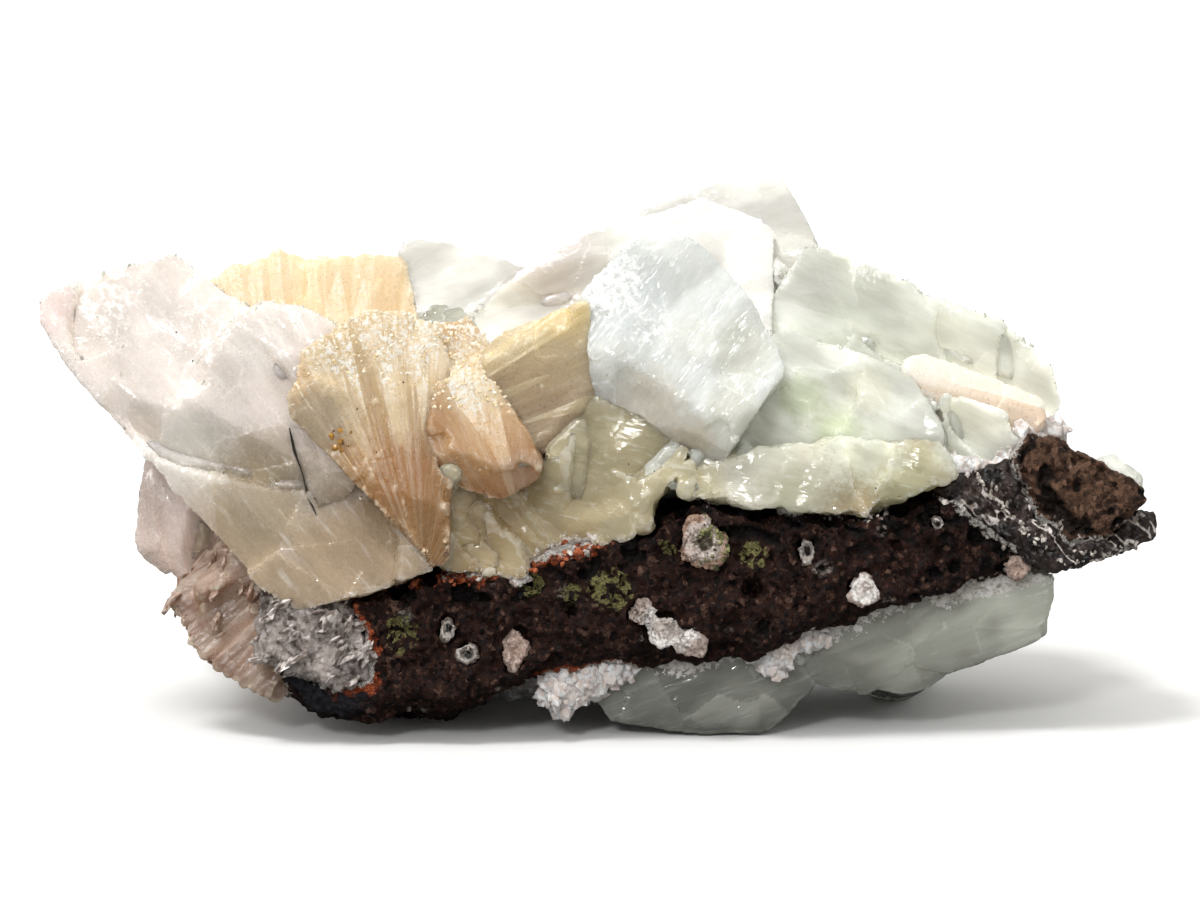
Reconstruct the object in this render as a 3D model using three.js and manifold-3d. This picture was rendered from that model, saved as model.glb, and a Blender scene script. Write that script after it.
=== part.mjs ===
// A cluster of apophyllite and stilbite crystals on a broken slab of vesicular basalt.
//
// The slab is the wall between two gas pockets in a lava flow. Large crystals grew on its upper side,
// smaller ones and a thin white crust grew under it, and it was broken out so that its front shows the
// slab edge-on.
//
// Everything is drawn square to that broken front, in millimetres: x to the right, y to the back, z up.
// The cluster is then leaned back by REST_TILT onto its feet, and moved so that the origin is under its
// middle.
import * as THREE from "three";
import { ConvexGeometry } from "three/addons/geometries/ConvexGeometry.js";
import { mergeVertices } from "three/addons/utils/BufferGeometryUtils.js";
import Module from "manifold-3d";

const wasm = await Module();
wasm.setup();

// Driving dimensions
const REST_TILT = THREE.MathUtils.degToRad(10); // lean of the broken front when the piece stands on its feet
const SEAM = 0.3; // gap left between neighbouring pieces
const LEAST_SQUARENESS = 0.25; // holds a sharp corner's share of that gap to four times SEAM
const FLOOR_RISE = Math.tan(REST_TILT); // how fast the floor climbs towards the back, in the drawn frame
const FLOOR_START = 8; // the floor passes z = 0 this far in front of y = 0
const FLOOR_BLOCK = { width: 300, depth: 300, height: 40 }; // stands in for the ground when the feet are cut
const SLAB_FRONT = -23; // the broken front of the basalt
const SLAB_BACK = 42;

// Finishes
const finish = (color, roughness) => new THREE.MeshStandardMaterial({ color, roughness, metalness: 0 });
const CLEAR_APOPHYLLITE = finish(0xe9ece6, 0.2);
const PINK_APOPHYLLITE = finish(0xe9dcd8, 0.25);
const GREY_APOPHYLLITE = finish(0xa9ada6, 0.2);
const CREAM_APOPHYLLITE = finish(0xd9d2b8, 0.3);
const STILBITE = finish(0xe0c193, 0.45);
const HEULANDITE = finish(0xe8e0de, 0.4);
const BASALT = finish(0x3b2a27, 0.9);

// --------------------------------------------------------------------------------------------------------
// Shapes of crystals. Each function returns the corners of one convex, flat-faced crystal.

const mean = (points, axis) => points.reduce((sum, p) => sum + p[axis], 0) / points.length;

// A crystal given by its outline from the front, a list of [x, z]. The outline is the crystal's widest
// ring, and lies in a plane at depth y, which falls back by lean[0] per mm to the right and lean[1] per
// mm up. On the outer side the crystal closes to an end face, a copy of the outline, face times as
// large, drawn in to core and standing proud by rise. The other way it runs along shaft to its root, a
// copy root times as large.
function faced({
  outline,
  y,
  lean = [0, 0],
  core,
  face = 0.85,
  rise = 3,
  shaft = [0, 30, -8],
  root = 0.75,
}) {
  const centre = [mean(outline, 0), mean(outline, 1)];
  const towards = core ?? centre;
  const outward = new THREE.Vector3(lean[0], -1, lean[1]);
  outward.setLength(rise).multiplyScalar(Math.sign(shaft[1]));
  const depthAt = (x, z) => y + lean[0] * (x - centre[0]) + lean[1] * (z - centre[1]);
  const onPlane = (x, z) => new THREE.Vector3(x, depthAt(x, z), z);
  const shrunk = (p, to, share) => onPlane(to[0] + share * (p[0] - to[0]), to[1] + share * (p[1] - to[1]));
  return outline.flatMap((p) => [
    onPlane(...p),
    shrunk(p, towards, face).add(outward),
    shrunk(p, centre, root).add(new THREE.Vector3(...shaft)),
  ]);
}

// A way of placing points by an axis that starts at root: a and b across it, turned by turn degrees,
// and h along it.
function placer(root, axis, turn = 0) {
  const along = new THREE.Vector3(...axis).normalize();
  const upright = Math.abs(along.z) > 0.9;
  const across = new THREE.Vector3(0, upright ? 1 : 0, upright ? 0 : 1).cross(along).normalize();
  across.applyAxisAngle(along, THREE.MathUtils.degToRad(turn));
  const other = new THREE.Vector3().crossVectors(along, across);
  const start = new THREE.Vector3(...root);
  return (a, b, h) =>
    start.clone().addScaledVector(across, a).addScaledVector(other, b).addScaledVector(along, h);
}

const SIGNS = [[-1, -1], [-1, 1], [1, -1], [1, 1]];

// An apophyllite crystal of the usual habit: a square prism that grows from root along axis, with its
// end corners cut off by pyramid faces. cut is how far these cut into each side, as a share of half of
// it, and shoulder is how far they run down the prism.
function prism({ root, axis, turn, width, length, cut = 0.5, shoulder = 0.3 * width }) {
  const place = placer(root, axis, turn);
  const half = width / 2;
  return SIGNS.flatMap(([a, b]) => [
    place(a * half, b * half, 0),
    place(a * half, b * half, length - shoulder),
    place(a * half, b * half * (1 - cut), length),
    place(a * half * (1 - cut), b * half, length),
  ]);
}

// A stilbite blade: flat, growing from root along axis, wider away from its root, and drawn in to a
// blunt point. turn sets which way its broad side looks.
const BLADE_RINGS = [
  { at: 0, width: 0.7, thick: 1 },
  { at: 0.8, width: 1, thick: 1 },
  { at: 1, width: 0.6, thick: 0.7 },
];

function blade({ root, axis, turn, width, thick, length }) {
  const place = placer(root, axis, turn);
  return BLADE_RINGS.flatMap((ring) =>
    SIGNS.map(([a, b]) =>
      place((a * width * ring.width) / 2, (b * thick * ring.thick) / 2, length * ring.at),
    ),
  );
}

// A rough lump of crust: a squashed ball of few faces, from its centre and radii. seed varies its corners.
const LUMP_RINGS = [
  { count: 3, level: -0.9 },
  { count: 5, level: -0.3 },
  { count: 5, level: 0.3 },
  { count: 3, level: 0.9 },
];
const LUMP_RELIEF = 0.3;

function lump(centre, radii, seed) {
  const size = new THREE.Vector3(...radii);
  return LUMP_RINGS.flatMap(({ count, level }, row) =>
    Array.from({ length: count }, (_, i) => {
      const angle = ((i + row / 2 + chance(seed, 7 * row + i) / 2) / count) * 2 * Math.PI;
      const reach = Math.sqrt(1 - level * level) * (1 + LUMP_RELIEF * chance(seed + 3, 7 * row + i));
      const way = new THREE.Vector3(reach * Math.cos(angle), reach * Math.sin(angle), level);
      return way.multiply(size).add(new THREE.Vector3(...centre));
    }),
  );
}

// A repeatable number from -0.5 to 0.5 for a pair of whole numbers, by the usual fract-of-sine hash.
function chance(i, j) {
  const s = Math.sin(i * 127.1 + j * 311.7) * 43758.5453;
  return s - Math.floor(s) - 0.5;
}

// --------------------------------------------------------------------------------------------------------
// Solids

function solidOf(geometry) {
  const bare = geometry.clone();
  for (const name of Object.keys(bare.attributes)) if (name !== "position") bare.deleteAttribute(name);
  const merged = mergeVertices(bare, 1e-3);
  return new wasm.Manifold(
    new wasm.Mesh({
      numProp: 3,
      vertProperties: new Float32Array(merged.attributes.position.array),
      triVerts: new Uint32Array(merged.index.array),
    }),
  );
}

const crystalSolid = (corners) => solidOf(new ConvexGeometry(corners));

// The same crystal with every face moved out by SEAM or a little more: the space that its neighbours
// leave free. Each corner moves along the mean of its faces' normals, far enough to lift the steepest
// of them by SEAM.
function clearanceOf(corners) {
  const { position, normal } = new ConvexGeometry(corners).attributes;
  const normalsAt = new Map();
  for (let i = 0; i < position.count; i++) {
    const corner = new THREE.Vector3().fromBufferAttribute(position, i);
    const key = corner.toArray().map((v) => v.toFixed(3)).join();
    if (!normalsAt.has(key)) normalsAt.set(key, { corner, normals: [] });
    const facing = new THREE.Vector3().fromBufferAttribute(normal, i);
    const known = normalsAt.get(key).normals;
    if (!known.some((n) => n.dot(facing) > 0.999)) known.push(facing);
  }
  const grown = [...normalsAt.values()].map(({ corner, normals }) => {
    const way = normals.reduce((sum, n) => sum.add(n), new THREE.Vector3()).normalize();
    const squareness = Math.max(LEAST_SQUARENESS, Math.min(...normals.map((n) => n.dot(way))));
    return corner.clone().addScaledVector(way, SEAM / squareness);
  });
  return crystalSolid(grown);
}

const joined = (solids) => solids.reduce((all, s) => all.add(s));
const largest = (solid) => solid.decompose().reduce((a, b) => (b.volume() > a.volume() ? b : a));

// --------------------------------------------------------------------------------------------------------
// Pieces, from the front to the back. Where two meet, the one listed first keeps its shape.

const pieces = [];
const piece = (name, look, ...crystals) => pieces.push({ name, look, crystals });

// The silvery crystal in the middle of the front, with its broad end face turned up to the light.
piece(
  "apophyllite_front_crystal",
  CLEAR_APOPHYLLITE,
  faced({
    outline: [[-3, 79], [6.5, 87.5], [15, 88], [20, 82.5], [26.5, 74.5], [32, 64.5], [28, 59.5],
      [22.5, 51], [14, 54], [-1, 63.5], [-2, 70.5]],
    y: -19,
    lean: [0.1, 0.4],
    core: [24, 79],
    face: 0.8,
    rise: 4.5,
    shaft: [-2, 36, -14],
  }),
);

// Stilbite blades beside it: a peach one with a keel along its front, and a tan one with a yellow rim.
piece(
  "stilbite_peach_blade",
  STILBITE,
  faced({
    outline: [[-29.5, 61.5], [-25, 64.5], [-20.5, 62.5], [-16.5, 55.5], [-11, 47.5], [-11.5, 45.5],
      [-18, 42], [-23, 43.5], [-29.5, 46.5], [-30, 52.5]],
    y: -26,
    lean: [0.05, 0.3],
    core: [-18, 60],
    face: 0.66,
    rise: 4,
    shaft: [4, 24, 0],
  }),
  faced({
    outline: [[-29, 72.5], [-23.5, 73.5], [-20, 69.5], [-20, 61], [-25, 60], [-28, 66]],
    y: -15,
    lean: [0, 0.3],
    rise: 2,
    shaft: [2, 20, -8],
  }),
);
piece(
  "stilbite_tan_blade",
  STILBITE,
  faced({
    outline: [[-3, 76.5], [-2, 73.5], [-1.5, 63.5], [-1.5, 60], [-6.5, 54.5], [-11.5, 50.5],
      [-18, 58.5], [-20.5, 66], [-20.5, 68], [-17, 71], [-11, 73]],
    y: -20,
    lean: [0.1, -0.15],
    core: [-5, 56],
    face: 0.86,
    rise: 2.5,
    shaft: [6, 22, -4],
  }),
);

// The wheat-sheaf of stilbite on the left: four blades that fan out upwards from one root.
piece(
  "stilbite_sheaf",
  STILBITE,
  faced({
    outline: [[-54.5, 57], [-54.5, 61], [-51, 64], [-43, 60], [-30, 38], [-28.5, 30], [-33, 36.5],
      [-47, 51]],
    y: -26,
    lean: [0.1, 0.05],
    rise: 1.5,
    face: 0.9,
    shaft: [8, 20, -2],
  }),
  faced({
    outline: [[-54, 61], [-52.5, 67.5], [-46, 72.5], [-40, 68], [-31, 42], [-28.5, 30], [-31, 34]],
    y: -26.5,
    lean: [0, 0.15],
    rise: 1.5,
    face: 0.92,
    shaft: [4, 24, 0],
  }),
  faced({
    outline: [[-47, 71.5], [-41.5, 75], [-34, 74], [-28, 46], [-27.5, 30], [-30, 29.5]],
    y: -26.5,
    lean: [0, 0.2],
    rise: 1.5,
    face: 0.92,
    shaft: [2, 26, 0],
  }),
  faced({
    outline: [[-36, 74], [-29, 72], [-27, 66], [-26.5, 50], [-27, 31], [-29.5, 31]],
    y: -25,
    lean: [0.1, 0.2],
    rise: 1.5,
    face: 0.92,
    shaft: [0, 22, -2],
  }),
);

// The great block on the left: a pinkish crystal that leans out, a smaller one in front of it, and the
// broad broken base that runs down to the basalt.
piece(
  "apophyllite_left_block",
  PINK_APOPHYLLITE,
  faced({
    outline: [[-99.5, 77.5], [-99, 73], [-94.5, 66], [-80, 49.5], [-70, 48], [-62, 60], [-61, 74],
      [-66.5, 77.5], [-71, 80.5], [-76, 85], [-88, 82]],
    y: -17,
    lean: [0.1, 0.35],
    core: [-70, 68],
    face: 0.9,
    rise: 3,
    shaft: [16, 38, -14],
    root: 0.7,
  }),
  faced({
    outline: [[-64.5, 73.5], [-60, 76.5], [-53.5, 76], [-47, 72.5], [-50, 66], [-53, 60], [-57, 58],
      [-68.5, 60], [-72, 65.5], [-69.5, 68]],
    y: -20,
    lean: [0, 0.3],
    core: [-60, 68],
    face: 0.86,
    rise: 2.5,
    shaft: [8, 30, -10],
  }),
  faced({
    outline: [[-81, 50], [-77, 46.5], [-60.5, 27], [-53, 22.5], [-39, 26.5], [-30, 29.5], [-33, 42],
      [-47, 58], [-58, 64], [-72, 62]],
    y: -24,
    lean: [0.02, 0.1],
    core: [-50, 44],
    face: 0.92,
    rise: 2,
    shaft: [12, 44, 4],
  }),
  faced({
    outline: [[-54.5, 50], [-54, 54], [-51, 55], [-46, 49.5], [-40.5, 48], [-43, 41], [-47, 33.5], [-50, 35],
      [-52, 42]],
    y: -26,
    lean: [0.1, 0.1],
    rise: 1.2,
    face: 0.88,
    shaft: [2, 12, 0],
  }),
);

// The broken bases of the crystals along the front, just above the slab.
piece(
  "apophyllite_centre_base",
  CREAM_APOPHYLLITE,
  faced({
    outline: [[-3, 60], [6, 57], [16, 50.5], [12, 46], [10, 42.5], [7.5, 38.5], [0.5, 40], [-7, 49],
      [-4, 57]],
    y: -21,
    lean: [-0.05, 0.15],
    rise: 2,
    face: 0.9,
    shaft: [4, 28, 4],
  }),
  faced({
    outline: [[-29.5, 46], [-16, 48], [2, 48], [10, 43.5], [8, 38.5], [-2.5, 34], [-13.5, 31], [-21, 29],
      [-28.5, 29]],
    y: -22.5,
    lean: [0, 0.12],
    rise: 1.5,
    face: 0.92,
    shaft: [2, 34, 4],
  }),
  faced({
    outline: [[14, 48], [29, 50], [44, 52], [60.5, 51], [63, 46.5], [54, 41.5], [46.5, 39],
      [41.5, 39.5], [28, 41.5], [21, 42], [14, 43]],
    y: -22.5,
    lean: [0, 0.2],
    rise: 1.5,
    face: 0.94,
    shaft: [0, 36, 4],
  }),
);

// The green-tinged crystals right of the middle, which lean in under the larger ones.
piece(
  "apophyllite_green_pair",
  CLEAR_APOPHYLLITE,
  faced({
    outline: [[30.5, 70.5], [34.5, 71], [48, 66.5], [55, 63.5], [61.5, 53], [60.5, 50.5], [50, 48.5],
      [44, 48.5], [40, 54], [32, 64]],
    y: -16,
    lean: [0.1, 0.35],
    core: [46, 56],
    face: 0.88,
    rise: 2.5,
    shaft: [-2, 32, -6],
  }),
  faced({
    outline: [[27, 61], [31, 66], [34, 65], [43, 54], [46, 48], [36, 45], [18, 45], [21, 53]],
    y: -15,
    lean: [-0.1, 0.3],
    rise: 2,
    shaft: [0, 30, -2],
  }),
);

// On the right: a peach stilbite blade, with a small clear crystal against it, in front of the large
// green block.
piece(
  "stilbite_right_blade",
  STILBITE,
  faced({
    outline: [[54.5, 64], [55, 66.5], [57.5, 67.5], [64.5, 65], [78, 59.5], [79.5, 56.5], [74.5, 53],
      [62, 51.5], [58.5, 56]],
    y: -13,
    lean: [0.05, 0.3],
    core: [66, 59],
    face: 0.8,
    rise: 3,
    shaft: [-4, 22, -6],
  }),
);
piece(
  "apophyllite_right_points",
  CLEAR_APOPHYLLITE,
  faced({
    outline: [[60.5, 60.5], [65, 59.5], [72, 57], [74.5, 52.5], [69.5, 48.5], [61, 50]],
    y: -18,
    lean: [0.1, 0.3],
    core: [66, 57],
    face: 0.75,
    rise: 2,
    shaft: [-2, 14, -3],
  }),
);
piece(
  "apophyllite_right_block",
  CLEAR_APOPHYLLITE,
  faced({
    outline: [[30.5, 77.5], [36.5, 86.5], [40.5, 86], [47, 83.5], [55.5, 80.5], [59, 77.5],
      [60.5, 70.5], [55, 62], [48, 63.5], [30.5, 69]],
    y: -7,
    lean: [0.1, 0.35],
    core: [44, 73],
    face: 0.84,
    rise: 3,
    shaft: [-2, 36, -18],
  }),
  faced({
    outline: [[50, 80], [59, 78], [62, 76.5], [71.5, 73.5], [75.5, 68.5], [80.5, 66], [82.5, 58.5],
      [79.5, 55], [70, 52], [55, 58]],
    y: -5,
    lean: [0.1, 0.3],
    core: [64, 66],
    face: 0.82,
    rise: 3,
    shaft: [-6, 34, -12],
  }),
);

// The ridge: the largest crystal, seen along its flank, and the tall one behind it that tops the cluster.
piece(
  "apophyllite_ridge_crystal",
  CLEAR_APOPHYLLITE,
  faced({
    outline: [[-22.5, 75], [-17, 80.5], [-2, 89], [9, 92.5], [18.5, 95.5], [31, 90.5], [30.8, 70.5],
      [29.5, 58], [0, 54], [-21.5, 66]],
    y: -4,
    lean: [0.05, 0.4],
    core: [8, 74],
    face: 0.9,
    rise: 3,
    shaft: [2, 34, -22],
    root: 0.7,
  }),
);
piece(
  "apophyllite_peak_crystal",
  CLEAR_APOPHYLLITE,
  faced({
    outline: [[-1, 88.5], [9, 94], [20.5, 98], [31.5, 101], [34, 97.5], [36, 94], [40, 86.5],
      [38.5, 77.5], [31, 70], [9, 76]],
    y: 8,
    lean: [0.2, 0.3],
    core: [30, 86],
    face: 0.86,
    rise: 3,
    shaft: [-6, 34, -24],
  }),
);

// The white crystal at the top, the pair of small grey points in front of it, and the orange stilbite
// behind.
piece(
  "apophyllite_grey_points",
  GREY_APOPHYLLITE,
  faced({
    outline: [[-33, 73], [-30, 76], [-27.5, 76.2], [-26, 72], [-29, 70.5]],
    y: -8,
    lean: [0, 0.3],
    rise: 1.5,
    shaft: [0, 8, -8],
  }),
  faced({
    outline: [[-28, 75], [-25, 75.5], [-22.5, 72.5], [-24.5, 70.5], [-28, 71]],
    y: -9,
    lean: [0, 0.3],
    rise: 1.5,
    shaft: [0, 8, -8],
  }),
);
piece(
  "apophyllite_white_crystal",
  CLEAR_APOPHYLLITE,
  faced({
    outline: [[-35, 88.5], [-27.5, 87.5], [-13.5, 83.5], [-16, 78], [-22, 66], [-33, 66], [-34.5, 78],
      [-36, 85.5]],
    y: 4,
    lean: [0.1, 0.15],
    core: [-25, 76],
    face: 0.86,
    rise: 3,
    shaft: [6, 30, -18],
  }),
);
piece(
  "stilbite_back_ledge",
  STILBITE,
  faced({
    outline: [[-70.5, 81], [-64.5, 83.5], [-58, 86], [-55.5, 86], [-52, 84], [-48.5, 66], [-66, 66]],
    y: 4,
    lean: [0, 0.25],
    core: [-58, 76],
    face: 0.85,
    rise: 3,
    shaft: [6, 30, -16],
  }),
  faced({
    outline: [[-54, 84.5], [-49.5, 84.5], [-41.5, 85.7], [-36.5, 84.5], [-33, 76.5], [-33, 64], [-52, 64]],
    y: 2,
    lean: [0, 0.3],
    core: [-44, 74],
    face: 0.85,
    rise: 3,
    shaft: [2, 30, -16],
  }),
);

// The right end: a second lump of basalt, split off by a vein of white heulandite that also lines its
// underside, with a druse of the same above the vein and a clear crystal at the very tip.
piece(
  "basalt_right_lump",
  BASALT,
  faced({
    outline: [[71.5, 48.5], [75.5, 53.5], [80, 53], [88, 49], [97, 44], [97.5, 41.5], [90, 33.8], [83, 32.5],
      [78.5, 37]],
    y: -17,
    lean: [0.15, 0.1],
    core: [84, 47],
    face: 0.8,
    rise: 4,
    shaft: [-8, 40, 2],
    root: 0.85,
  }),
);
piece(
  "heulandite_right_druse",
  HEULANDITE,
  faced({
    outline: [[59, 48], [59.5, 51], [65, 53.5], [74, 55], [79, 53.5], [72, 47], [65, 45]],
    y: -18,
    lean: [0.1, 0.3],
    rise: 1.5,
    face: 0.8,
    shaft: [0, 26, 0],
  }),
  faced({
    outline: [[74, 51], [76, 55.5], [81, 56.8], [83.5, 54], [80, 51]],
    y: -10,
    rise: 2,
    face: 0.75,
    shaft: [-2, 18, -3],
  }),
);
piece(
  "apophyllite_tip_crystal",
  CLEAR_APOPHYLLITE,
  faced({
    outline: [[88, 45], [89, 48.6], [92.5, 49.6], [96.5, 47], [97, 44.5], [95, 41], [90, 42]],
    y: -5,
    rise: 2.5,
    face: 0.7,
    shaft: [-1, 10, 0],
  }),
);
piece(
  "heulandite_vein",
  HEULANDITE,
  faced({
    outline: [[59.5, 43.5], [65, 47], [72, 49], [76, 41], [78, 36], [74, 33.5], [67.5, 41]],
    y: -21,
    lean: [0.1, 0.1],
    rise: 0.8,
    face: 0.9,
    shaft: [0, 46, 2],
  }),
  faced({
    outline: [[73, 35], [78, 38], [84, 32.5], [92, 34], [90, 31.5], [81, 28.8], [75, 31]],
    y: -19,
    lean: [0.2, 0.1],
    rise: 1.5,
    face: 0.85,
    shaft: [-2, 42, 2],
  }),
  faced({
    outline: [[88, 34], [91, 38], [97, 40.2], [99.5, 39], [99, 35.5], [97, 34], [90, 31.5]],
    y: -12,
    lean: [0.1, 0.2],
    rise: 2,
    face: 0.7,
    shaft: [-6, 20, -2],
  }),
);

// The lower left: a pink crystal under the great block, brown-peach stilbite below it, and white heulandite
// plates between the stilbite and the basalt.
piece(
  "heulandite_left_plates",
  HEULANDITE,
  faced({
    outline: [[-61.5, 14], [-60.5, 25.5], [-54, 26], [-49.5, 23], [-44.5, 22], [-42, 17.5], [-41, 10],
      [-47, 8], [-55, 12]],
    y: -21,
    lean: [0.05, 0.15],
    core: [-50, 15],
    rise: 2.5,
    face: 0.75,
    shaft: [6, 26, 4],
  }),
  blade({ root: [-50, -12, 24], axis: [-0.75, -0.35, -1], turn: 30, width: 10, thick: 3, length: 15 }),
  blade({ root: [-46, -14, 20], axis: [0.1, -0.5, -1], turn: 60, width: 10, thick: 3, length: 11 }),
  blade({ root: [-52, -12, 26], axis: [-0.25, -0.5, -1], turn: 10, width: 9, thick: 3, length: 13 }),
);
piece(
  "stilbite_lower_left",
  STILBITE,
  faced({
    outline: [[-74.5, 27], [-75.5, 23.5], [-74, 18], [-72, 14.5], [-66, 11.5], [-61, 8], [-57, 6], [-55, 12],
      [-58, 22], [-61, 29], [-68, 34]],
    y: -12,
    lean: [-0.1, 0.15],
    core: [-66, 19],
    rise: 3,
    face: 0.7,
    shaft: [10, 26, 3],
  }),
  blade({ root: [-56, -8, 22], axis: [-1, -0.3, -0.45], turn: 70, width: 12, thick: 4, length: 14 }),
  blade({ root: [-58, -10, 26], axis: [-1, -0.4, -0.15], turn: 50, width: 11, thick: 4, length: 14 }),
);
piece(
  "apophyllite_pink_left",
  PINK_APOPHYLLITE,
  faced({
    outline: [[-81, 50], [-82.6, 34.5], [-81.5, 31.5], [-77.5, 29.3], [-74, 26.5], [-68, 28], [-60, 36],
      [-66, 48], [-76, 54]],
    y: -4,
    lean: [-0.2, 0.1],
    core: [-72, 40],
    rise: 3,
    face: 0.7,
    shaft: [12, 28, 2],
  }),
);

// Under the slab: one large grey crystal that the cluster stands on, and three that run out to the right.
piece(
  "apophyllite_foot_crystal",
  GREY_APOPHYLLITE,
  faced({
    outline: [[-2, 8], [2.5, 2.5], [13.5, 0.6], [27.5, 0], [30.5, 1], [33, 4], [38, 9], [36, 18],
      [7, 18], [0, 14]],
    y: -9,
    lean: [0, -0.1],
    core: [18, 10],
    face: 0.88,
    rise: 3,
    shaft: [2, 26, 1.5],
  }),
);
piece(
  "apophyllite_under_crystals",
  GREY_APOPHYLLITE,
  faced({
    outline: [[54, 25], [81, 30], [80.5, 25.5], [79.5, 17.5], [72, 14.5], [61.5, 11], [56, 12]],
    y: -12,
    lean: [0, -0.2],
    core: [66, 20],
    face: 0.9,
    rise: 2.5,
    shaft: [-4, 34, 6],
  }),
  faced({
    outline: [[46, 23], [60, 26], [64, 14], [61.5, 11], [57.5, 8], [54, 7.5], [50, 8.5]],
    y: -10,
    lean: [0, -0.2],
    face: 0.85,
    rise: 2.5,
    shaft: [-2, 48, -5],
  }),
  faced({
    outline: [[32, 18], [40, 23], [52, 22], [50.5, 8.5], [47.5, 7], [43.5, 8], [37, 9.5]],
    y: -10,
    lean: [0, -0.2],
    face: 0.85,
    rise: 2.5,
    shaft: [2, 34, 6],
  }),
);

// A white crust hangs under the slab in three patches, thickest left of the foot crystal.
piece(
  "heulandite_front_crust",
  HEULANDITE,
  lump([-7, -15, 8], [4.5, 5, 5], 1),
  lump([-2.5, -14, 9.5], [5, 5, 4], 2),
  lump([2, -13, 11], [5, 5, 3], 3),
);
piece(
  "heulandite_right_crust",
  HEULANDITE,
  lump([31, -14, 15], [5, 4, 5], 4),
  lump([36, -13, 18], [5, 4, 4], 5),
);
piece(
  "heulandite_back_crust",
  HEULANDITE,
  lump([-14, 16, 9], [10, 9, 4], 6),
  lump([-2, 22, 11], [10, 9, 4], 7),
  lump([9, 30, 12], [9, 8, 4], 8),
);

// The back of the cluster, from the left to the right.
piece(
  "apophyllite_back_left",
  PINK_APOPHYLLITE,
  faced({
    outline: [[-86, 70], [-77, 78], [-64, 76], [-56, 60], [-52, 38], [-62, 32], [-70, 46]],
    y: 34,
    lean: [0.08, -0.35],
    core: [-68, 60],
    shaft: [6, -26, -4],
    root: 0.8,
  }),
  prism({ root: [-62, 12, 34], axis: [-0.15, 0.8, 0.1], turn: 20, width: 19, length: 36 }),
);
piece(
  "stilbite_back_sheaf",
  STILBITE,
  blade({ root: [-46, 24, 26], axis: [-0.3, 0.35, 1], turn: 60, width: 26, thick: 12, length: 54 }),
  blade({ root: [-42, 26, 26], axis: [0, 0.35, 1], turn: 85, width: 26, thick: 12, length: 57 }),
  blade({ root: [-38, 24, 26], axis: [0.25, 0.3, 1], turn: 110, width: 24, thick: 12, length: 50 }),
);
piece(
  "apophyllite_back_centre",
  CLEAR_APOPHYLLITE,
  faced({
    outline: [[-30, 74], [-14, 82], [-2, 80], [6, 60], [-2, 40], [-22, 32], [-32, 48]],
    y: 41,
    lean: [0, -0.3],
    core: [-14, 64],
    shaft: [0, -28, -4],
    root: 0.8,
  }),
);
piece(
  "apophyllite_back_ridge",
  CLEAR_APOPHYLLITE,
  faced({
    outline: [[0, 82], [12, 90], [28, 88], [38, 68], [32, 42], [10, 38], [-2, 56]],
    y: 44,
    lean: [-0.05, -0.35],
    core: [18, 72],
    rise: 4,
    shaft: [0, -28, -8],
    root: 0.8,
  }),
);
piece(
  "apophyllite_back_right",
  CLEAR_APOPHYLLITE,
  faced({
    outline: [[36, 79], [50, 77], [66, 68], [72, 54], [60, 40], [38, 38], [32, 58]],
    y: 38,
    lean: [-0.1, -0.3],
    core: [50, 62],
    shaft: [0, -26, -4],
    root: 0.8,
  }),
  prism({ root: [56, 22, 44], axis: [0.55, 0.35, 0.3], turn: 15, width: 18, length: 27 }),
);

// Nodules that fill gas bubbles in the broken front of the slab. The largest fills three that ran together.
piece(
  "zeolite_nodule_long",
  HEULANDITE,
  lump([7.5, SLAB_FRONT + 1, 21.3], [3.2, 2.8, 2.8], 11),
  lump([11.2, SLAB_FRONT + 0.8, 18.6], [3.6, 2.8, 2.8], 12),
  lump([15, SLAB_FRONT + 1, 17], [3.4, 2.6, 2.2], 13),
);
const nodule = (n, centre, radii) => piece(`zeolite_nodule_${n}`, HEULANDITE, lump(centre, radii, n));
nodule(1, [18, SLAB_FRONT + 0.5, 34], [4.6, 3, 4.6]);
nodule(2, [46.8, SLAB_FRONT + 1, 25.7], [3.1, 2.8, 3.3]);
nodule(3, [36.5, SLAB_FRONT + 1, 32.2], [1.8, 2.4, 2.6]);
nodule(4, [74, SLAB_FRONT + 3.5, 29.5], [2.6, 2.4, 2.4]);
nodule(5, [-23.4, SLAB_FRONT + 1, 14.6], [2.2, 2.4, 2]);
nodule(6, [-15, SLAB_FRONT + 1, 15.5], [2.6, 2.4, 4]);
nodule(7, [-14.4, SLAB_FRONT + 1.5, 28], [2.9, 2.6, 2.2]);
nodule(8, [60, SLAB_FRONT + 1, 38], [1.3, 2, 1.6]);
nodule(9, [-27, SLAB_FRONT + 1, 18.7], [1.4, 2, 2.4]);

// --------------------------------------------------------------------------------------------------------
// The basalt slab: sections along x, each a closed ring round a roughly square cut.

// Upper and lower edges of the broken front, as [x, z].
const SLAB_TOP = [[-56.5, 13], [-47, 23.5], [-29, 29], [-18, 32], [-7, 34], [7, 38.5], [14.5, 43],
  [21.5, 41.5], [30.5, 42.5], [39.5, 39.5], [50.5, 40], [61, 44.5], [72, 48], [83, 38]];
const SLAB_UNDERSIDE = [[-56.5, 9], [-53, 5], [-47, 3], [-39.5, 2.5], [-26, 4.5], [-18, 7.5], [-11, 10.5],
  [7, 13.5], [26, 13.5], [34, 16.5], [43, 20.5], [54, 23.5], [65, 25.5], [74, 27.5], [83, 31]];
const SLAB_STEP = 6; // spacing of the sections
const FACE_RELIEF = 1.8; // how far a point of the broken faces strays in and out
const EDGE_RELIEF = 1.1; // how far the front's upper and lower edges stray up and down
const END_TAPER = 10; // how much the slab narrows from the back at its two ends
const FLOOR_CLEARANCE = 1.5;
const SLAB_FEET = [[-43, 8], [-36, 36]]; // where the slab itself touches down, as [x, y]
const FOOT_RADIUS = 7;
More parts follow.
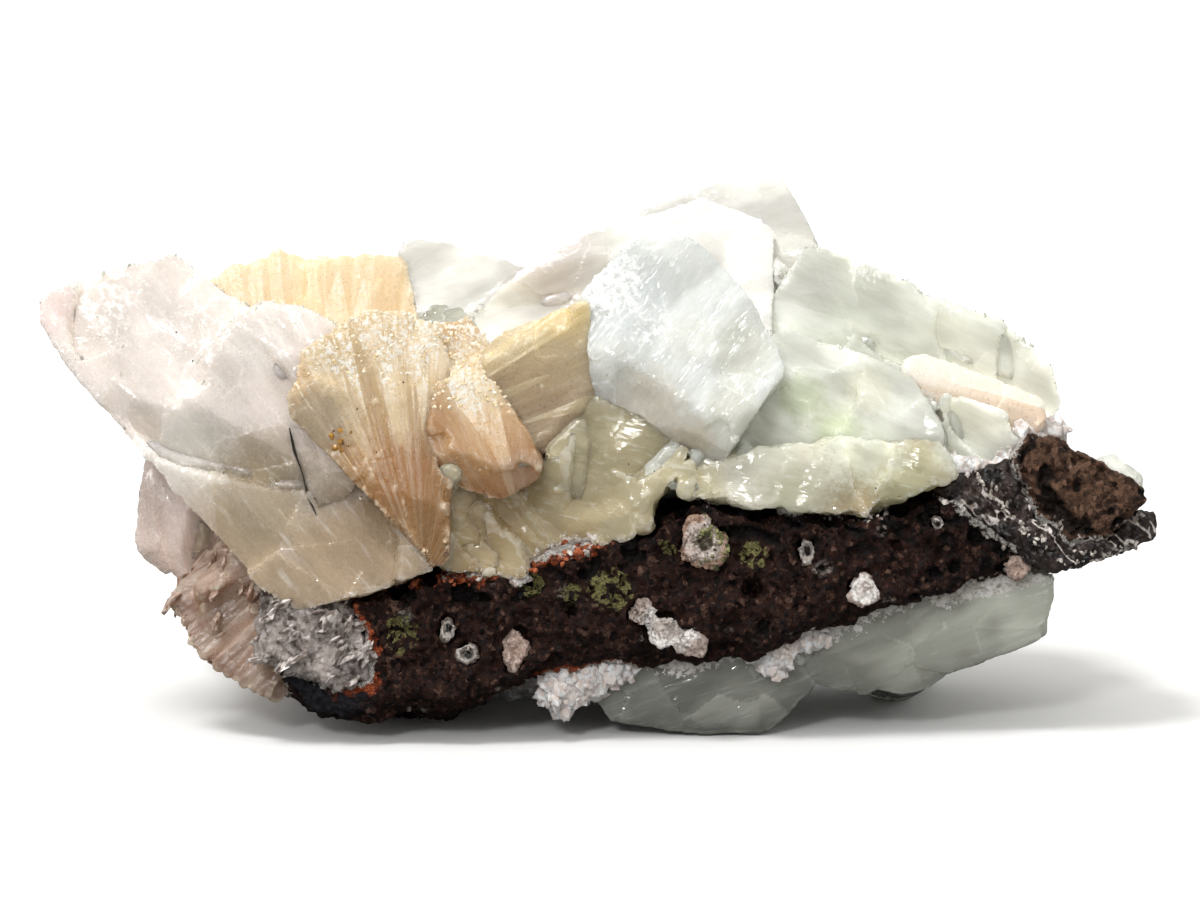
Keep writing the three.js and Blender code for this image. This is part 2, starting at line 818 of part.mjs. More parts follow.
const FOOT_WEAR = 0.5; // depth that the floor takes off a foot
const SEED = { along: 7, depth: 40, height: 80 }; // keep the relief in the three directions apart

// Open gas bubbles in the broken front, as [x, z, radius].
const BUBBLES = [[-35, 12, 2], [-5, 22, 1.6], [27, 26, 2], [53, 33, 1.5]];

// The middles of count equal steps on the way from one value to another.
const evenly = (count, from, to) =>
  Array.from({ length: count }, (_, i) => THREE.MathUtils.lerp(from, to, (i + 0.5) / count));

// The ring's points as shares of the section's depth and height, anticlockwise seen from the right.
const SECTION = [
  ...evenly(5, 0, 1).map((depth) => [depth, 0]),
  ...evenly(2, 0, 1).map((height) => [1, height]),
  ...evenly(3, 1, 0).map((depth) => [depth, 1]),
  ...evenly(4, 1, 0).map((height) => [0, height]),
];

function heightAt(edge, x) {
  const i = Math.max(1, edge.findIndex((p) => p[0] >= x));
  const [a, b] = [edge[i - 1], edge[i]];
  return a[1] + ((b[1] - a[1]) * (x - a[0])) / (b[0] - a[0]);
}

// The j-th point of the section at x. i numbers the section, and varies the relief.
function slabPoint(x, taper, i, [depth, height], j) {
  const straight = THREE.MathUtils.lerp(SLAB_FRONT + taper / 2, SLAB_BACK - taper, depth);
  const y = straight + FACE_RELIEF * chance(i + SEED.depth, j);
  const edges = [heightAt(SLAB_UNDERSIDE, x), heightAt(SLAB_TOP, x)];
  const isFrontEdge = height % 1 === 0 && depth < 0.2;
  const relief = (isFrontEdge ? EDGE_RELIEF : 2 * FACE_RELIEF) * chance(i + SEED.height, j);
  const isFoot = SLAB_FEET.some((foot) => Math.hypot(x - foot[0], y - foot[1]) < FOOT_RADIUS);
  const floor = (y + FLOOR_START) * FLOOR_RISE;
  if (isFoot && height === 0) return new THREE.Vector3(x, y, floor - FOOT_WEAR);
  const z = THREE.MathUtils.lerp(...edges, height) + relief;
  return new THREE.Vector3(x, y, Math.max(z, floor + FLOOR_CLEARANCE + chance(i, j)));
}

function slab() {
  const [first, last] = [SLAB_TOP[0][0], SLAB_TOP.at(-1)[0]];
  const count = Math.round((last - first) / SLAB_STEP);
  const ring = SECTION.length;
  const points = [];
  const faces = [];
  for (let i = 0; i <= count; i++) {
    const taper = END_TAPER * Math.abs((2 * i) / count - 1) ** 4;
    const x = THREE.MathUtils.lerp(first, last, i / count);
    SECTION.forEach((shares, j) => {
      const stray = i % count ? 2 * FACE_RELIEF * chance(i + SEED.along, j) : 0;
      points.push(slabPoint(x + stray, taper, i, shares, j));
    });
    if (i === 0) continue;
    for (let j = 0; j < ring; j++) {
      const [a, b] = [(i - 1) * ring + j, (i - 1) * ring + ((j + 1) % ring)];
      faces.push(a, b, a + ring, b, b + ring, a + ring);
    }
  }
  for (const [start, isFirst] of [[0, true], [count * ring, false]]) {
    const end = points.slice(start, start + ring);
    const hub = points.push(end.reduce((sum, p) => sum.add(p), new THREE.Vector3()).divideScalar(ring)) - 1;
    for (let j = 0; j < ring; j++) {
      const [a, b] = [start + j, start + ((j + 1) % ring)];
      faces.push(hub, ...(isFirst ? [b, a] : [a, b]));
    }
  }
  const geometry = new THREE.BufferGeometry().setFromPoints(points);
  geometry.setIndex(faces);
  const bubbles = BUBBLES.map(([x, z, r], n) => crystalSolid(lump([x, SLAB_FRONT, z], [r, 2 * r, r], n)));
  return solidOf(geometry).subtract(joined(bubbles));
}

// --------------------------------------------------------------------------------------------------------
// Assembly

const cluster = new THREE.Group();
const settled = new THREE.Group();
settled.add(cluster);

function addNode(name, look, solid) {
  const mesh = solid.getMesh();
  const geometry = new THREE.BufferGeometry();
  geometry.setAttribute("position", new THREE.Float32BufferAttribute(mesh.vertProperties, 3));
  geometry.setIndex(new THREE.BufferAttribute(mesh.triVerts, 1));
  const flat = geometry.toNonIndexed();
  flat.computeVertexNormals();
  const node = new THREE.Mesh(flat, look);
  node.name = name;
  cluster.add(node);
}

// The floor starts as taken space, so that every foot gets its flat. Each piece then takes its own
// space, seam included, from those after it.
const ground = new THREE.BoxGeometry(FLOOR_BLOCK.width, FLOOR_BLOCK.depth, FLOOR_BLOCK.height);
ground.translate(0, 0, -FLOOR_BLOCK.height / 2);
ground.rotateX(REST_TILT);
ground.translate(0, -FLOOR_START, 0);
let taken = solidOf(ground);
for (const { name, look, crystals } of pieces) {
  addNode(name, look, largest(joined(crystals.map(crystalSolid)).subtract(taken)));
  taken = taken.add(joined(crystals.map(clearanceOf)));
}
addNode("basalt_slab", BASALT, largest(slab().subtract(taken)));

// Stand the cluster on its feet with the origin under its middle.
cluster.rotation.x = -REST_TILT;
settled.updateMatrixWorld(true);
const extent = new THREE.Box3().setFromObject(settled, true);
const centre = extent.getCenter(new THREE.Vector3());
cluster.position.set(-centre.x, -centre.y, -extent.min.z);

export default settled;
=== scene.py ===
import math
import random
from functools import partial

import bpy
import numpy as np
from mathutils import Euler, Matrix, Vector, noise
from mathutils.bvhtree import BVHTree
from mathutils.kdtree import KDTree


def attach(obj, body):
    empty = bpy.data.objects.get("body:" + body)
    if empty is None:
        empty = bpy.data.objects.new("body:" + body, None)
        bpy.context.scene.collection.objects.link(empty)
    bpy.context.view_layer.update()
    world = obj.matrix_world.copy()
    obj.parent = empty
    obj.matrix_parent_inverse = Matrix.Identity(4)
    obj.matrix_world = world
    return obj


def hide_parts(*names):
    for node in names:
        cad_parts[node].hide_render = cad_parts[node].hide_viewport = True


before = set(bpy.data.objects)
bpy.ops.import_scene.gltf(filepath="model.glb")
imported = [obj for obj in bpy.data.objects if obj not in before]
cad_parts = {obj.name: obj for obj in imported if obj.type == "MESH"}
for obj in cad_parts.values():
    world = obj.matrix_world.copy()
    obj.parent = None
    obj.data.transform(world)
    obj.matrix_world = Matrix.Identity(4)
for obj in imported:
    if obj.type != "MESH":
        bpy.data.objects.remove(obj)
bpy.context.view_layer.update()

# ---------------------------------------------------------------------------------------------------------
# The table, the daylight and the camera.
# The specimen stands loose on a white sheet under a bright, wide light from above, so its crystals glow from
# inside and the light rakes down the broken front. The camera looks down on it by LEAN.
LEAN = math.radians(10)  # the broken front leans back by this much when the piece stands on its feet
SHIFT = Vector((0, -0.01929, -0.00139))  # where the foot of the broken front stands
SIGHT = 1400  # mm from the camera to the front
EYE_LEVEL = 50.58  # mm up the front, where the camera looks

# Places are given in mm along the broken front: x to the right, y into the piece and z up the front.
UPRIGHT = Matrix.Rotation(-LEAN, 3, "X")


def spot(x, y, z):
    return UPRIGHT @ Vector((x, y, z)) / 1000 + SHIFT


def hue(code):
    """A colour written as sRGB hex, as linear red, green, blue and alpha."""
    parts = [int(code[i : i + 2], 16) / 255 for i in (1, 3, 5)]
    return [c / 12.92 if c <= 0.04045 else ((c + 0.055) / 1.055) ** 2.4 for c in parts] + [1.0]


def node(tree, kind, *inputs, stops=(), **settings):
    """Adds one node. A second word in kind is its operation or, for a Mix, its data type. inputs fill its
    sockets in their order: a node or a socket is linked, a number, a row of numbers or a hex colour is set,
    and None is left as it is. settings are the node's own values, or those of a socket by its name, and stops
    are the places and colours of a ramp."""
    kind, _, choice = kind.partition(" ")
    n = tree.nodes.new("ShaderNode" + kind)
    if choice:
        setattr(n, "data_type" if kind == "Mix" else "operation", choice)
    named = []
    for key, value in settings.items():
        if hasattr(n, key):
            setattr(n, key, value)
        else:
            named.append((n.inputs[key.replace("_", " ")], value))
    for i, (at, value) in enumerate(stops):
        e = n.color_ramp.elements[i] if i < 2 else n.color_ramp.elements.new(at)
        e.position = at
        e.color = hue(value) if isinstance(value, str) else (value, value, value, 1)
    for socket, value in [*zip([s for s in n.inputs if s.enabled], inputs), *named]:
        if isinstance(value, bpy.types.Node):
            value = [s for s in value.outputs if s.enabled][0]
        if isinstance(value, bpy.types.NodeSocket):
            tree.links.new(value, socket)
        elif value is not None:
            socket.default_value = hue(value) if isinstance(value, str) else value
    return n


camera = bpy.data.cameras.new("camera")
camera.lens = 233.3
camera.sensor_width = 36
camera.clip_end = 20
eye = bpy.data.objects.new("camera", camera)
eye.location = spot(0, -SIGHT, EYE_LEVEL)
eye.rotation_euler = (math.radians(90) - LEAN, 0, 0)
bpy.context.scene.collection.objects.link(eye)
bpy.context.scene.camera = eye
bpy.context.scene.view_settings.view_transform = "Standard"

bpy.ops.object.select_all(action="DESELECT")
bpy.ops.mesh.primitive_plane_add(size=8, location=(0, 0, 0))
sheet = bpy.context.object
sheet.name = "white_sheet"
paper = bpy.data.materials.new("white card")  # matt, so it gives no mirror image of the specimen
paper.use_nodes = True
card = paper.node_tree
face = card.nodes["Principled BSDF"]
face.inputs["Base Color"].default_value = hue("#fafafa")
face.inputs["Roughness"].default_value = 0.9
# The card lights the specimen from below only weakly.
dim = node(card, "BsdfDiffuse", "#8c8c8c")
seen = node(card, "LightPath")
ground = node(card, "MixShader", seen, dim, face)
card.links.new(ground.outputs[0], card.nodes["Material Output"].inputs["Surface"])
sheet.data.materials.append(paper)

for name, strength, width, turn in (
    ("window_above", 1.5, 16, (18, -18, 0)),
    ("window_front", 0.85, 10, (56, -26, 0)),
):
    lamp = bpy.data.lights.new(name, "SUN")
    lamp.energy = strength
    lamp.angle = math.radians(width)
    holder = bpy.data.objects.new(name, lamp)
    holder.rotation_euler = Euler([math.radians(a) for a in turn])
    bpy.context.scene.collection.objects.link(holder)

# The room is bright overhead and dim below eye level.
world = bpy.data.worlds.new("pale room")
world.use_nodes = True
bpy.context.scene.world = world
walls = world.node_tree
walls.nodes.clear()
way = node(walls, "TexCoord")
up = node(walls, "SeparateXYZ", way.outputs["Generated"])
rise = node(walls, "MapRange", up.outputs[2], -0.3, 0.9, 0.6, 0.9, interpolation_type="SMOOTHSTEP")
room = node(walls, "Background", "#fffefa", rise)
beyond = node(walls, "Background", "#ffffff", 1.0)
eyes = node(walls, "LightPath")
node(walls, "OutputWorld", node(walls, "MixShader", eyes, room, beyond))

# ---------------------------------------------------------------------------------------------------------
# The basalt: the slab and, past the white vein, the lighter lump at its right end.
# Fine-grained dark lava full of gas bubbles, broken by a blow, so every face is rough. Where the crystals sit
# on it there is a thin white seam and a rim of red clay, and green celadonite lines some of the bubbles.
BASALT_CELL = 0.00062  # the size of the small faces that the piece is cut into
BUBBLES = 170  # small bubbles in the slab
LUMP_CELL = 0.0004
LUMP_BUBBLES = 12
BUBBLE_SIZES = (0.4, 1.7)  # mm, radius
VOID_DEPTH = 2.2  # mm, how far the rock has weathered back under the crystals
VOIDS = 280  # how many voids there would be along a metre
ROCK_EDGE = 60  # degrees, only a sharper edge of rock stays hard
CELADONITE = (  # green patches: x, z and radius, mm
    (2, 26, 7), (-5, 25, 4), (-35, 18, 6), (27, 32, 5), (12, 33, 3), (-12, 27, 4)
)


def applied(piece, modifier):
    """Applies a modifier that was added to the piece."""
    bpy.context.view_layer.objects.active = piece
    bpy.ops.object.modifier_apply(modifier=modifier.name)


def loose(name, source, cell, sharp=True):
    """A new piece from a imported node's mesh, cut into even faces of about cell metres."""
    bpy.ops.object.select_all(action="DESELECT")
    piece = bpy.data.objects.new(name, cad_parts[source].data.copy())
    piece.data.name = name
    piece.data.materials.clear()
    bpy.context.scene.collection.objects.link(piece)
    bpy.context.view_layer.objects.active = piece
    piece.select_set(True)
    bpy.ops.object.mode_set(mode="EDIT")
    bpy.ops.mesh.select_all(action="SELECT")
    bpy.ops.mesh.remove_doubles(threshold=1e-5)
    bpy.ops.object.mode_set(mode="OBJECT")
    regrid(piece, cell, sharp)
    return piece


def regrid(piece, cell, sharp=True):
    """Cuts the piece's surface into even faces of about cell metres, with its edges kept sharp or not."""
    grid = piece.modifiers.new("grid", "REMESH")
    if sharp:
        reach = max(c1 - c0 for c0, c1 in zip(piece.bound_box[0], piece.bound_box[6]))
        grid.mode = "SHARP"
        grid.octree_depth = math.ceil(math.log2(reach / (0.99 * cell)))
        grid.scale = min(0.99, reach / (cell * 2**grid.octree_depth))
        grid.use_remove_disconnected = False
    else:
        grid.mode = "VOXEL"
        grid.voxel_size = cell
    applied(piece, grid)


def relief(piece, kind, size, depth, **settings):
    """Moves the piece's faces in and out by up to half of depth, in patches of size metres."""
    pattern = bpy.data.textures.new(piece.name + "_relief", kind)
    pattern.noise_scale = size
    for key, value in settings.items():
        setattr(pattern, key, value)
    push = piece.modifiers.new("relief", "DISPLACE")
    push.texture = pattern
    push.strength = depth
    push.mid_level = 0.5
    push.texture_coords = "LOCAL"
    applied(piece, push)


def points(piece):
    """The piece's points in mm along the broken front, and their normals in the same directions."""
    mesh = piece.data
    co = np.empty(3 * len(mesh.vertices), np.float32)
    mesh.vertices.foreach_get("co", co)
    no = np.empty_like(co)
    mesh.vertex_normals.foreach_get("vector", no)
    turn = np.array(UPRIGHT)
    return (co.reshape(-1, 3) - np.array(SHIFT)) @ turn * 1000, no.reshape(-1, 3) @ turn


def moved(piece, places):
    """Puts the piece's points at these places, in mm along the broken front."""
    co = places @ np.array(UPRIGHT).T / 1000 + np.array(SHIFT)
    piece.data.vertices.foreach_set("co", co.astype(np.float32).ravel())
    piece.data.update()


def above_floor(piece):
    """Keeps the piece's points on or over the floor."""
    for v in piece.data.vertices:
        v.co.z = max(v.co.z, 0.0)


def mark(piece, name, values):
    """Keeps one number for each point, for the material to read."""
    layer = piece.data.attributes.new(name, "FLOAT", "POINT")
    layer.data.foreach_set("value", np.asarray(values, np.float32))


def plainly_marked(piece, **values):
    """Keeps the same numbers all over a piece."""
    for name, value in values.items():
        mark(piece, name, np.full(len(piece.data.vertices), value))


def smooth(x, low, high):
    """0 below low, 1 above high, and eased between."""
    t = np.clip((x - low) / (high - low), 0, 1)
    return t * t * (3 - 2 * t)


def done(piece, material, slot, *nodes, edge=32):
    """Finishes a piece: material, smooth faces with hard edges, a place under the root, and the imported
    nodes that it stands for hidden.
    """
    piece.data.materials.append(material)
    bpy.ops.object.select_all(action="DESELECT")
    bpy.context.view_layer.objects.active = piece
    piece.select_set(True)
    bpy.ops.object.shade_smooth_by_angle(angle=math.radians(edge))
    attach(piece, "root")
    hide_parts(*nodes)


def material(name):
    """A new material: what adds its nodes, its Principled shader and a place in mm along the broken front."""
    m = bpy.data.materials.new(name)
    m.use_nodes = True
    add = partial(node, m.node_tree)
    skin = m.node_tree.nodes["Principled BSDF"]
    skin.subsurface_method = "BURLEY"
    home = add("TexCoord").outputs["Object"]
    origin = -1000 * (UPRIGHT.transposed() @ SHIFT)
    place = add("Mapping", home, origin, (LEAN, 0, 0), (1000, 1000, 1000))
    return m, add, skin, place


def put(skin, **sources):
    """Feeds the shader's sockets: a node is linked and a number or a row of numbers is set."""
    for key, value in sources.items():
        socket = skin.inputs[key.replace("_", " ")]
        if isinstance(value, bpy.types.Node):
            skin.id_data.links.new([s for s in value.outputs if s.enabled][0], socket)
        else:
            socket.default_value = value


def splintered(add, place, scale, lean):
    """A surface of small flat facets, 1/scale mm wide, each leaning its own way by up to about lean. Returns
    the normals and each facet's own random colour."""
    facet = add("TexVoronoi", place, Scale=scale)
    toward = add("VectorMath SUBTRACT", facet.outputs["Color"], (0.5, 0.5, 0.5))
    offset = add("VectorMath SUBTRACT", place, facet.outputs["Position"])
    lift = add("VectorMath DOT_PRODUCT", offset, toward)
    return add("Bump", 1.0, 0.002 * lean, None, lift), facet.outputs["Color"]


def surface_of(chosen):
    """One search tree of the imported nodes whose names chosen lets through."""
    corners = []
    faces = []
    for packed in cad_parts.values():
        if chosen(packed.name):
            first = len(corners)
            corners += [v.co.copy() for v in packed.data.vertices]
            faces += [[first + i for i in f.vertices] for f in packed.data.polygons]
    return BVHTree.FromPolygons(corners, faces)


# The distance to the nearest crystal sets where the seam and the clay lie.
shell = surface_of(lambda name: not name.startswith(("basalt", "zeolite")))


def weather_basalt(piece, seed, bubbles, patches, rough=1.0):
    """Roughens a broken lava face, opens its bubbles, and marks seam, bubbles and green patches."""
    relief(piece, "CLOUDS", 0.007, 0.0024 * rough, noise_depth=2)
    relief(piece, "VORONOI", 0.0035, 0.0018 * rough)
    relief(piece, "CLOUDS", 0.0015, 0.0018 * rough, noise_depth=3)
    at, out = points(piece)
    gap = np.array([shell.find_nearest(v.co)[3] * 1000 for v in piece.data.vertices])
    chance = random.Random(seed)
    hollow = np.zeros(len(at))
    rim = np.zeros(len(at))
    for _ in range(bubbles):
        middle = at[chance.randrange(len(at))]
        radius = chance.uniform(*BUBBLE_SIZES) * chance.uniform(0.5, 1)
        away = np.linalg.norm((at - middle) * (1, 1, chance.uniform(0.7, 1.4)), axis=1) / radius
        hollow = np.maximum(hollow, radius * np.sqrt(np.clip(1 - away**2, 0, 1)))
        rim = np.maximum(rim, np.exp(-(((away - 1.1) / 0.25) ** 2)) * (chance.random() < 0.5))
    # Under the crystals the rock has weathered back into voids, which the material darkens with painted
    # shade.
    crumble = np.array([noise.noise(v.co * VOIDS) for v in piece.data.vertices])
    under = smooth(gap, 1.0, 2.2) * (1 - smooth(gap, 4.5, 8.0)) * (at[:, 2] > 24)
    void = smooth(crumble, -0.05, 0.35) * under
    hollow = np.maximum(hollow, VOID_DEPTH * void)
    moved(piece, at - out * (0.85 * hollow)[:, None])
    green = np.zeros(len(at))
    for x, z, radius in patches:
        away = np.hypot(at[:, 0] - x, at[:, 2] - z) / radius
        green = np.maximum(green, (1 - smooth(away, 0.3, 1.2)) * (at[:, 1] < -12))
    mark(piece, "gap", gap)
    mark(piece, "hollow", hollow)
    mark(piece, "rim", rim)
    mark(piece, "green", green)
    above_floor(piece)


def basalt(name, dark, light, clay_from, clay_to):
    """Basalt, fresh break: dull, nearly black, with fine pale grains. Clay shows from one x to the other, in
    mm. A toe at the lower left is fine-grained and blue-black."""
    m, add, skin, place = material(name)
    grain = add("TexNoise", place, Scale=0.9, Detail=3.0, Roughness=0.7)
    fine = add("TexNoise", place, Scale=4.0, Detail=2.0, Roughness=0.6)
    chips, each = splintered(add, place, 1.1, 0.8)
    level = add("Math MULTIPLY_ADD", grain, 0.55, add("Math MULTIPLY", each, 0.45))
    tone = add("ValToRGB", level, stops=((0.34, dark), (0.62, light), (0.78, "#6b5246")))
    speck = add("MapRange", fine, 0.7, 0.74, 0, 0.6)
    tone = add("Mix RGBA", speck, tone, "#9a8f88")
    # Bubbles and voids: near black inside, painted shade; a thin zeolite skin on some rims.
    hollow = add("Attribute", attribute_name="hollow")
    tone = add("Mix RGBA", add("MapRange", hollow, 0.1, 0.8, 0, 0.9), tone, "#050404")
    rim = add("Attribute", attribute_name="rim")
    crumbs = add("MapRange", grain, 0.45, 0.58, 0, 0.9)
    tone = add("Mix RGBA", add("Math MULTIPLY", rim, crumbs), tone, "#b5aaa2")
    # Celadonite: olive green, earthy, in patches.
    green = add("Attribute", attribute_name="green")
    wander = add("TexNoise", place, Scale=0.3, Detail=3.0, Roughness=0.65)
    scraps = add("Math MULTIPLY", add("Math MULTIPLY_ADD", each, 0.5, wander), green)
    moss = add("MapRange", scraps, 0.68, 0.74, 0, 0.9)
    moss_tone = add("ValToRGB", fine, stops=((0.35, "#2e2c17"), (0.65, "#8a8553")))
    tone = add("Mix RGBA", moss, tone, moss_tone)
    # The blue-black toe.
    split = add("SeparateXYZ", place)
    toe = add("VectorMath DISTANCE", place, (-50, -24, 8))
    toe = add("MapRange", toe, 7, 11, 0.9, 0)
    tone = add("Mix RGBA", toe, tone, add("ValToRGB", grain, stops=((0.4, "#0c0d11"), (0.62, "#2d2f36"))))
    # The contact: red clay a few mm wide, then a white seam right under the crystals.
    gap = add("Attribute", attribute_name="gap")
    reach = add("Math MULTIPLY_ADD", wander, -9.0, add("Math ADD", gap, 4.0))
    clay = add("MapRange", reach, 0.8, 1.6, 1, 0)
    left = add("MapRange", split, clay_from, clay_from + 6, 0, 1)
    right = add("MapRange", split, clay_to - 6, clay_to, 1, 0)
    clay = add("Math MULTIPLY", clay, add("Math MULTIPLY", left, right))
    clay_tone = add("ValToRGB", fine, stops=((0.35, "#55200f"), (0.5, "#8a3c20"), (0.68, "#b06238")))
    tone = add("Mix RGBA", clay, tone, clay_tone)
    lime = add("MapRange", add("Math MULTIPLY_ADD", grain, -4.5, gap), -1.6, -1.1, 1, 0)
    lime_tone = add("ValToRGB", fine, stops=((0.4, "#94908b"), (0.6, "#d6d0ca")))
    tone = add("Mix RGBA", lime, tone, lime_tone)
    rough = add("Bump", 0.5, 0.0012, None, grain, chips)
    rough = add("Bump", 0.6, 0.0004, None, fine, rough)
    put(skin, Base_Color=tone, Roughness=add("MapRange", grain, 0.3, 0.7, 0.5, 0.85), Normal=rough,
        IOR=1.55, Specular_IOR_Level=0.15)
    return m


slab = loose("basalt_slab_broken", "basalt_slab", BASALT_CELL, sharp=False)
weather_basalt(slab, 4, BUBBLES, CELADONITE)
done(slab, basalt("basalt fresh break", "#0a0302", "#2e170f", -49, 8), "basalt", "basalt_slab",
     edge=ROCK_EDGE)

lump = loose("basalt_lump_broken", "basalt_right_lump", LUMP_CELL, sharp=False)
weather_basalt(lump, 9, LUMP_BUBBLES, (), rough=0.6)
lump_look = basalt("basalt lighter lump", "#2a1b13", "#6b4f3e", 0, 0)
done(lump, lump_look, "basalt", "basalt_right_lump", edge=ROCK_EDGE)


# ---------------------------------------------------------------------------------------------------------
# The nodules: gas bubbles filled with zeolites, cut open by the break.
# White heulandite lines each bubble's wall, then pink; some keep an olive middle, and some an open hollow
# whose near-black colour is painted shade.
NODULE_CELL = 0.00022
BRIM = 0.35  # what is left of a nodule's bulge over its rim
OPEN = 0.55  # how much of a nodule's breadth its hollow takes up


def filling(name, middle, inner, outer):
    """Zeolite bubble filling in rings, from its middle to its wall: dull white, finely crystalline."""
    m, add, skin, place = material(name)
    ring = add("Attribute", attribute_name="ring")
    rough = add("TexNoise", place, Scale=0.9, Detail=3.0, Roughness=0.65)
    step = add("Math MULTIPLY_ADD", rough, 1.1, add("Math ADD", ring, -0.55))
    tone = add("ValToRGB", step, stops=((0.28, middle), (0.42, inner), (0.66, inner), (0.86, outer)))
    dirt = add("TexNoise", place, Scale=2.0, Detail=3.0)
    tone = add("Mix RGBA", add("MapRange", dirt, 0.5, 0.66, 0, 0.5), tone, "#5f524b")
    grains, _ = splintered(add, place, 2.2, 0.6)
    put(skin, Base_Color=tone, Roughness=0.4, IOR=1.5, Subsurface_Weight=0.3, Subsurface_Scale=1.0,
        Subsurface_Radius=(0.0012, 0.001, 0.0009), Normal=grains)
    return m


white_filling = filling("zeolite filling white", "#cfc5be", "#e2dcd8", "#a8978e")
olive_filling = filling("zeolite filling with olive middle", "#3b3220", "#c6b8af", "#a3836f")
# The open middle's near-black colour is painted shade in the hollow.
shaded_hollow_filling = filling("zeolite ring with open middle", "#0a0908", "#b9b2ab", "#5d524b")
pink_filling = filling("zeolite filling pinkish", "#9c8376", "#ad958a", "#8d7a70")

for name, look, hollow in (
    ("zeolite_nodule_long", white_filling, 0.1),
    ("zeolite_nodule_1", olive_filling, 0.4),
    ("zeolite_nodule_2", white_filling, 0.15),
    ("zeolite_nodule_3", shaded_hollow_filling, 1.3),
    ("zeolite_nodule_4", pink_filling, 0.4),
    ("zeolite_nodule_5", shaded_hollow_filling, 1.3),
    ("zeolite_nodule_6", pink_filling, 0.3),
    ("zeolite_nodule_7", white_filling, 0.3),
    ("zeolite_nodule_8", shaded_hollow_filling, 0.8),
    ("zeolite_nodule_9", shaded_hollow_filling, 0.8),
):
    nodule = loose(name + "_filling", name, NODULE_CELL, sharp=False)
    if name in ("zeolite_nodule_1", "zeolite_nodule_long"):
        relief(nodule, "CLOUDS", 0.006, 0.005, noise_depth=1)
    relief(nodule, "CLOUDS", 0.0035, 0.0036, noise_depth=2)
    relief(nodule, "CLOUDS", 0.0010, 0.0008, noise_depth=2)
    at, out = points(nodule)
    low, high = at.min(0), at.max(0)
    away = np.linalg.norm(((at - (low + high) / 2) / ((high - low) / 2))[:, [0, 2]], axis=1)
    front = out[:, 1] < 0.2
    rim = np.quantile(at[front, 1], 0.5)
    at[front, 1] = rim + BRIM * (at[front, 1] - rim)
    at[:, 1] += front * hollow * 1.2 * np.sqrt(np.clip(1 - (away / OPEN) ** 2, 0, 1))
    moved(nodule, at)
    mark(nodule, "ring", away)
    done(nodule, look, "heulandite", name, edge=ROCK_EDGE)


# ---------------------------------------------------------------------------------------------------------
# The apophyllite: every see-through crystal of the cluster.
# Square prisms with pyramid ends, grown into each other. The mineral is clear, with milky clouds, healed
# cracks and frosted, finely striated faces, so light passes through it and is spread inside.
CONTACT = 0.35  # mm, each crystal grows out to meet its neighbours
NOOK = 3.0  # mm, half the width of the creases that intergrowth fills
RASTER = 0.4  # mm between the places where the depth of the front is known
FAR = 1000.0  # mm, the depth where nothing stands
AHEAD = 90  # mm, a place in front of the whole piece
FRONTAL = -0.7  # a face whose normal has this y or less faces the front
SEEN = 0.6  # mm, how far behind its foremost points a crystal still counts as seen
LEAST_FLAT = 12.0  # mm2, the smallest front face that is carried out to the sides
CARRIED = 9.0  # mm, how far beyond its own edge it is carried
CHAMFER = 7.0  # mm, how far behind a front face its own slopes are still carried out
CREASE = 8.0  # mm, the depth of the deepest crease that is filled
STEEPEST = 34  # degrees, the steepest that a facet is made
FACET_FALL = 6  # mm, the furthest that a facet falls back
FACET_SHADE_SPREAD = 0.618  # sets the painted shades of facets that follow each other well apart
FLAKE_LEAN = 0.13  # how far the slivers on a broken face lean
SHADE_AND_STRIATION = 0.2  # how strongly painted shade darkens facets and clear depths, and how strongly the striations darken
GLOW = 0.006  # how far light spreads inside
CRYSTAL_CELL = 0.0004
CRYSTAL_MOST = 80000  # triangles
BACK_CELL = 0.0006
BACK_MOST = 35000

rock = surface_of(lambda name: name.startswith("basalt"))

# How deep the nearest crystal lies behind each place of the broken front, and the same with creases filled.
across = np.arange(-108, 104, RASTER)
upward = np.arange(-4, 106, RASTER)
inward = UPRIGHT @ Vector((0, 1, 0))
depths = np.full((len(upward), len(across)), FAR)
for row, z in enumerate(upward):
    for column, x in enumerate(across):
        hit = shell.ray_cast(spot(x, -AHEAD, z), inward)[3]
        if hit is not None:
            depths[row, column] = hit * 1000 - AHEAD


def widest(field, radius, pick):
    """Gives every place the least or greatest value that lies within radius mm of it."""
    n = round(radius / RASTER)
    wide = np.pad(field, n, constant_values=FAR)
    result = field.copy()
    for i in range(-n, n + 1):
        for j in range(-n, n + 1):
            if i * i + j * j <= n * n:
                part = wide[n + i : n + i + field.shape[0], n + j : n + j + field.shape[1]]
                result = pick(result, part)
    return result


skyline = widest(widest(depths, 0.5, np.minimum), 0.5, np.maximum)
filled = widest(widest(depths, NOOK, np.minimum), NOOK, np.maximum)


def cells(at):
    """The row and the column of the raster in front of each point."""
    row = np.rint((at[:, 2] - upward[0]) / RASTER).astype(int)
    column = np.rint((at[:, 0] - across[0]) / RASTER).astype(int)
    return np.clip(row, 0, len(upward) - 1), np.clip(column, 0, len(across) - 1)


